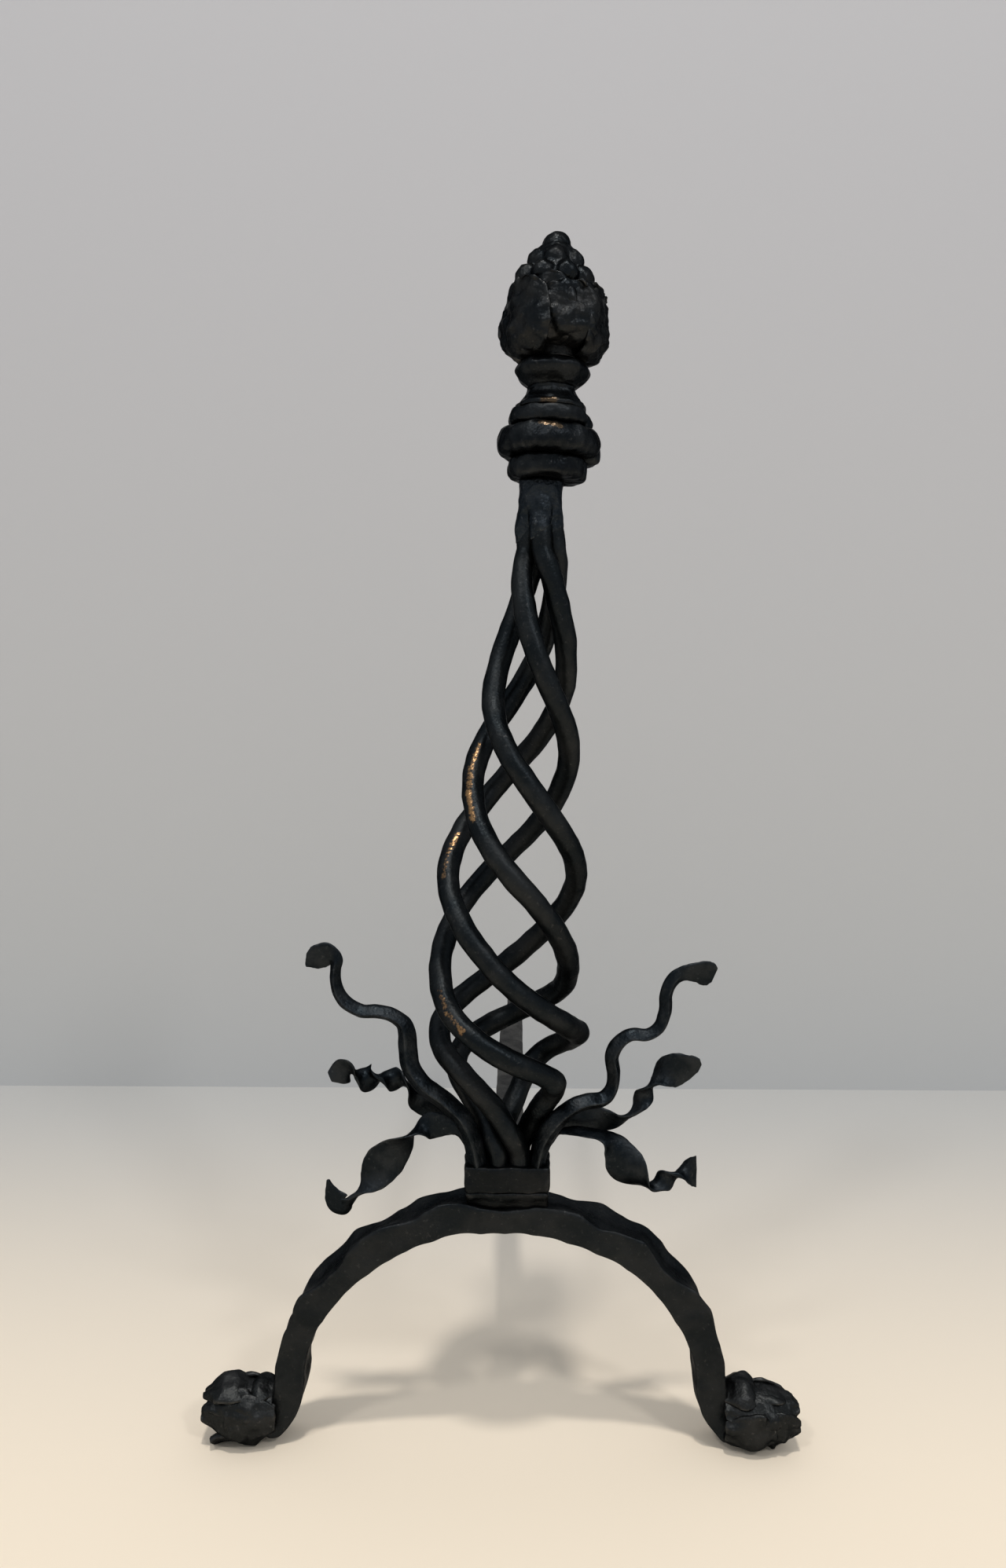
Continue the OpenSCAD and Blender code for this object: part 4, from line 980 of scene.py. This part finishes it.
def budPetal(kind, i, spec):
    b = bud
    turn, low, high, r, half, root = spec
    t, n = b["thick"], high - low
    # radius, share of the height, and shares of the half width and of the thickness
    shape = [(root, 0, 0.8, 1), (root * 0.35 + r * 0.63, 0.07, 0.9, 1), (r * 0.96, 0.2, 1, 1),
             (r, 0.4, 1, 1.1), (r * 0.98, 0.62, 0.98, 1.1), (r * 0.94, 0.83, 0.86, 1),
             (r * 0.92, 0.95, 0.6, 0.95), (r * 0.9, 1, 0.28, 0.8)]
    rows = [(out, low + n * up, half * wide, t * thick) for out, up, wide, thick in shape]
    ruffleSeed, dentSeed = b["seeds"][kind]
    skin = petalRings(rows, budPlace(turn), b["lift"], b["ruffle"], i * 2.7 + ruffleSeed, b["relief"])
    return forge(skinRings(f"{kind}Petal{i + 1}", skin), budIron, dent=2.0, size=5, sway=2.8, swaySize=8,
                 seed=i + dentSeed)


def buildCup(sides=40):
    made = [[budPlace(0)(r + 0.4 * waver((j, z, 0), 3, 2), math.tau * j / sides, z) for j in range(sides)]
            for r, z in smoothRows(bud["cup"], 3)]
    return forge(skinRings("budCup", made), budIron, dent=0.5, size=5, seed=51)


for kind in ("outer", "inner"):
    for i, spec in enumerate(bud[kind]):
        settle(budPetal(kind, i, spec), "bud_iron", f"{kind}_petal_{i + 1}")
settle(buildCup(), "bud_iron", "bud_core")

berries = {
    "radius": 5.9, "grain": 0.7, "shift": -0.9,
    # radius of the tier, height over the bud's foot, berries in it, first angle and size
    "tiers": [(13.6, 37.6, 8, 22, 1.08), (7.8, 46.2, 5, 54, 1.08), (0, 54.1, 1, 0, 1.28),
              (5, 38, 4, 0, 1.7), (0, 46, 1, 0, 1.8)],
}


def buildBerries():
    b = berries
    points, thickness = [], []
    for radius, high, count, first, size in b["tiers"]:
        for i in range(count):
            a = math.radians(first + 360 * i / count)
            jog = 0.5 * waver((i * 11, high, 0), 7, 1)
            points.append(finialPlace(radius + jog, a, bud["z"] + high + jog, (b["shift"], 0)))
            thickness.append(size)
    piece = linePiece("berryPile", points, thickness)
    runTree(piece, berryPile, {"Berry Radius": b["radius"] * mm, "Spread": 0.08, "Berry Seed": 4,
                               **marks(0.5, 4, 1.0, 7, 61, budIron)})
    fuse = piece.modifiers.new("fuse", "REMESH")  # the berries run into each other where they touch
    fuse.mode, fuse.voxel_size = "VOXEL", b["grain"] * mm
    soften = piece.modifiers.new("soften", "SMOOTH")
    soften.factor, soften.iterations = 0.5, 3
    plainMesh(piece)
    piece.data.materials.clear()
    return forge(piece, budIron, level=0, dent=0.5, size=3, sway=1.0, swaySize=5, seed=62)


settle(buildBerries(), "bud_iron", "berry_cluster")
print("bud and berries done")

# The square bar that carries the logs; past stepY it is drawn narrower on its left
logBar = {"x": 3.5, "half": 8, "frontY": 7.3, "backY": 430.2, "top": 140, "bend": 4, "edge": 1.6,
          "stepY": 300.0, "stepIn": 4.2}


def barPath():
    b = logBar
    x, middleZ, legY = b["x"], b["top"] - b["half"], b["backY"] - b["half"]
    r = b["bend"] + b["half"]
    path = [Vector((x, b["frontY"] + (legY - r - b["frontY"]) * i / 60, middleZ)) for i in range(60)]
    for i in range(13):
        a = math.radians(90 * i / 12)
        path.append(Vector((x, legY - r + r * math.sin(a), middleZ - r + r * math.cos(a))))
    low = path[-1].z
    return path + [Vector((x, legY, low - low * i / 18)) for i in range(1, 19)]


def barSection(h, e):
    side = [(h, -h + e), (h, -h * 0.45), (h, 0), (h, h * 0.45), (h, h - e)]
    section = []
    for turn in range(4):
        section += side
        side = [(-y, x) for x, y in side]
    return section


def buildLogBar():
    b = logBar
    path = barPath()
    made = []
    for at, (along, side, other) in zip(path, carried(path, Vector((1, 0, 0)))):
        step = b["stepIn"] * ease((at.y - b["stepY"]) / 8)
        ring = [at + side * (x + step * (0.5 - 0.5 * x / b["half"])) + other * y
                for x, y in barSection(b["half"], b["edge"])]
        made.append(ring[2:] + ring[:2])
    return forge(skinRings("logBar", made), paintedLitBarIron, dent=0.7, size=12, sway=1.0, swaySize=30, seed=71)


settle(buildLogBar(), "bar_iron", "log_bar")
print("log bar laid")

# The pin is hidden by the rings, and keeps its own mesh
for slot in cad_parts["finial_pin"].material_slots:
    slot.material = blackIron

# A pale floor and wall, and soft light. Painted light: the floor is painted brighter and warmer towards the
# front and dimmer towards the wall, and the wall a little lighter towards the bottom
room = {"wallY": 548, "halfWide": 3000, "frontY": -1500, "high": 2500,
        "floorFarPaintedDim": (0.545, 0.545, 0.54, 1), "floorNearPaintedLight": (0.95, 0.84, 0.69, 1),
        "wallLow": (0.53, 0.54, 0.55, 1), "wallHigh": (0.515, 0.52, 0.55, 1),
        "sky": (0.93, 0.97, 1, 1), "skyStrength": 0.5}


# Its colour runs from low to high along an axis, and from behind it is clear
def stagePlane(name, corners, low, high, axis, start, end):
    plane = meshPiece(name, corners, [(0, 1, 2, 3)])
    paint = bpy.data.materials.new(name + "Paint")
    paint.use_nodes = True
    tree = paint.node_tree
    place = addNode(tree, "ShaderNodeTexCoord").outputs["Object"]
    parts = addNode(tree, "ShaderNodeSeparateXYZ", {0: place}).outputs
    share = addNode(tree, "ShaderNodeMapRange", {0: parts[axis], 1: start, 2: end},
                    interpolation_type="SMOOTHSTEP").outputs[0]
    shader = tree.nodes["Principled BSDF"]
    shader.inputs["Roughness"].default_value = 0.9
    shader.inputs["Specular IOR Level"].default_value = 0.1
    tree.links.new(blendNode(tree, share, low, high), shader.inputs["Base Color"])
    behind = addNode(tree, "ShaderNodeNewGeometry").outputs["Backfacing"]
    clear = addNode(tree, "ShaderNodeBsdfTransparent").outputs[0]
    seen = addNode(tree, "ShaderNodeMixShader", {0: behind, 1: shader.outputs[0], 2: clear})
    tree.links.new(seen.outputs[0], tree.nodes["Material Output"].inputs["Surface"])
    plane.data.materials.append(paint)


nearY, farY, wide, high = room["frontY"], room["wallY"], room["halfWide"], room["high"]
stagePlane("floor", [(-wide, nearY, 0), (wide, nearY, 0), (wide, farY, 0), (-wide, farY, 0)],
           room["floorNearPaintedLight"], room["floorFarPaintedDim"], 1, archMidY - 0.15, farY * mm + archMidY)
stagePlane("wall", [(-wide, farY, 0), (wide, farY, 0), (wide, farY, high), (-wide, farY, high)],
           room["wallLow"], room["wallHigh"], 2, 0.0, 0.9)
print("floor and wall placed")

lamps = {  # azimuth from the front towards the right, elevation, size, strength, colour
    "keyLamp": (4, 76, 0.26, 46, (1, 0.94, 0.86)),
    "sideLamp": (-36, 52, 0.4, 15.5, (1, 0.97, 0.93)),
    "farLamp": (38, 42, 0.45, 19, (1, 0.98, 0.96)),
}


lampAim, lampReach = Vector((0, archMidY, 0.2)), 3.6


def hangLamp(name, azimuth, elevation, size, strength, colour):
    light = bpy.data.lights.new(name, "AREA")
    light.shape, light.size, light.energy, light.color = "DISK", size, strength, colour
    lamp = bpy.data.objects.new(name, light)
    a, e = math.radians(azimuth), math.radians(elevation)
    way = Vector((math.sin(a) * math.cos(e), -math.cos(a) * math.cos(e), math.sin(e)))
    lamp.location = lampAim + way * lampReach
    lamp.rotation_euler = way.to_track_quat("Z", "Y").to_euler()
    scene.collection.objects.link(lamp)


for name, values in lamps.items():
    hangLamp(name, *values)

world = bpy.data.worlds.new("softRoom")
world.use_nodes = True
sky = world.node_tree.nodes["Background"].inputs
sky["Color"].default_value, sky["Strength"].default_value = room["sky"], room["skyStrength"]
scene.world = world

view = {"place": (0.01058, -0.76776, 0.37149), "down": 3.6727, "turn": 0.9, "lens": 26.69, "film": 36}
eye = bpy.data.cameras.new("eye")
eye.lens, eye.sensor_width = view["lens"], view["film"]
camera = bpy.data.objects.new("eye", eye)
camera.location = view["place"]
camera.rotation_euler = Euler((math.radians(90 - view["down"]), 0, math.radians(view["turn"])))
scene.collection.objects.link(camera)
scene.camera = camera
print("lamps, sky and camera placed")
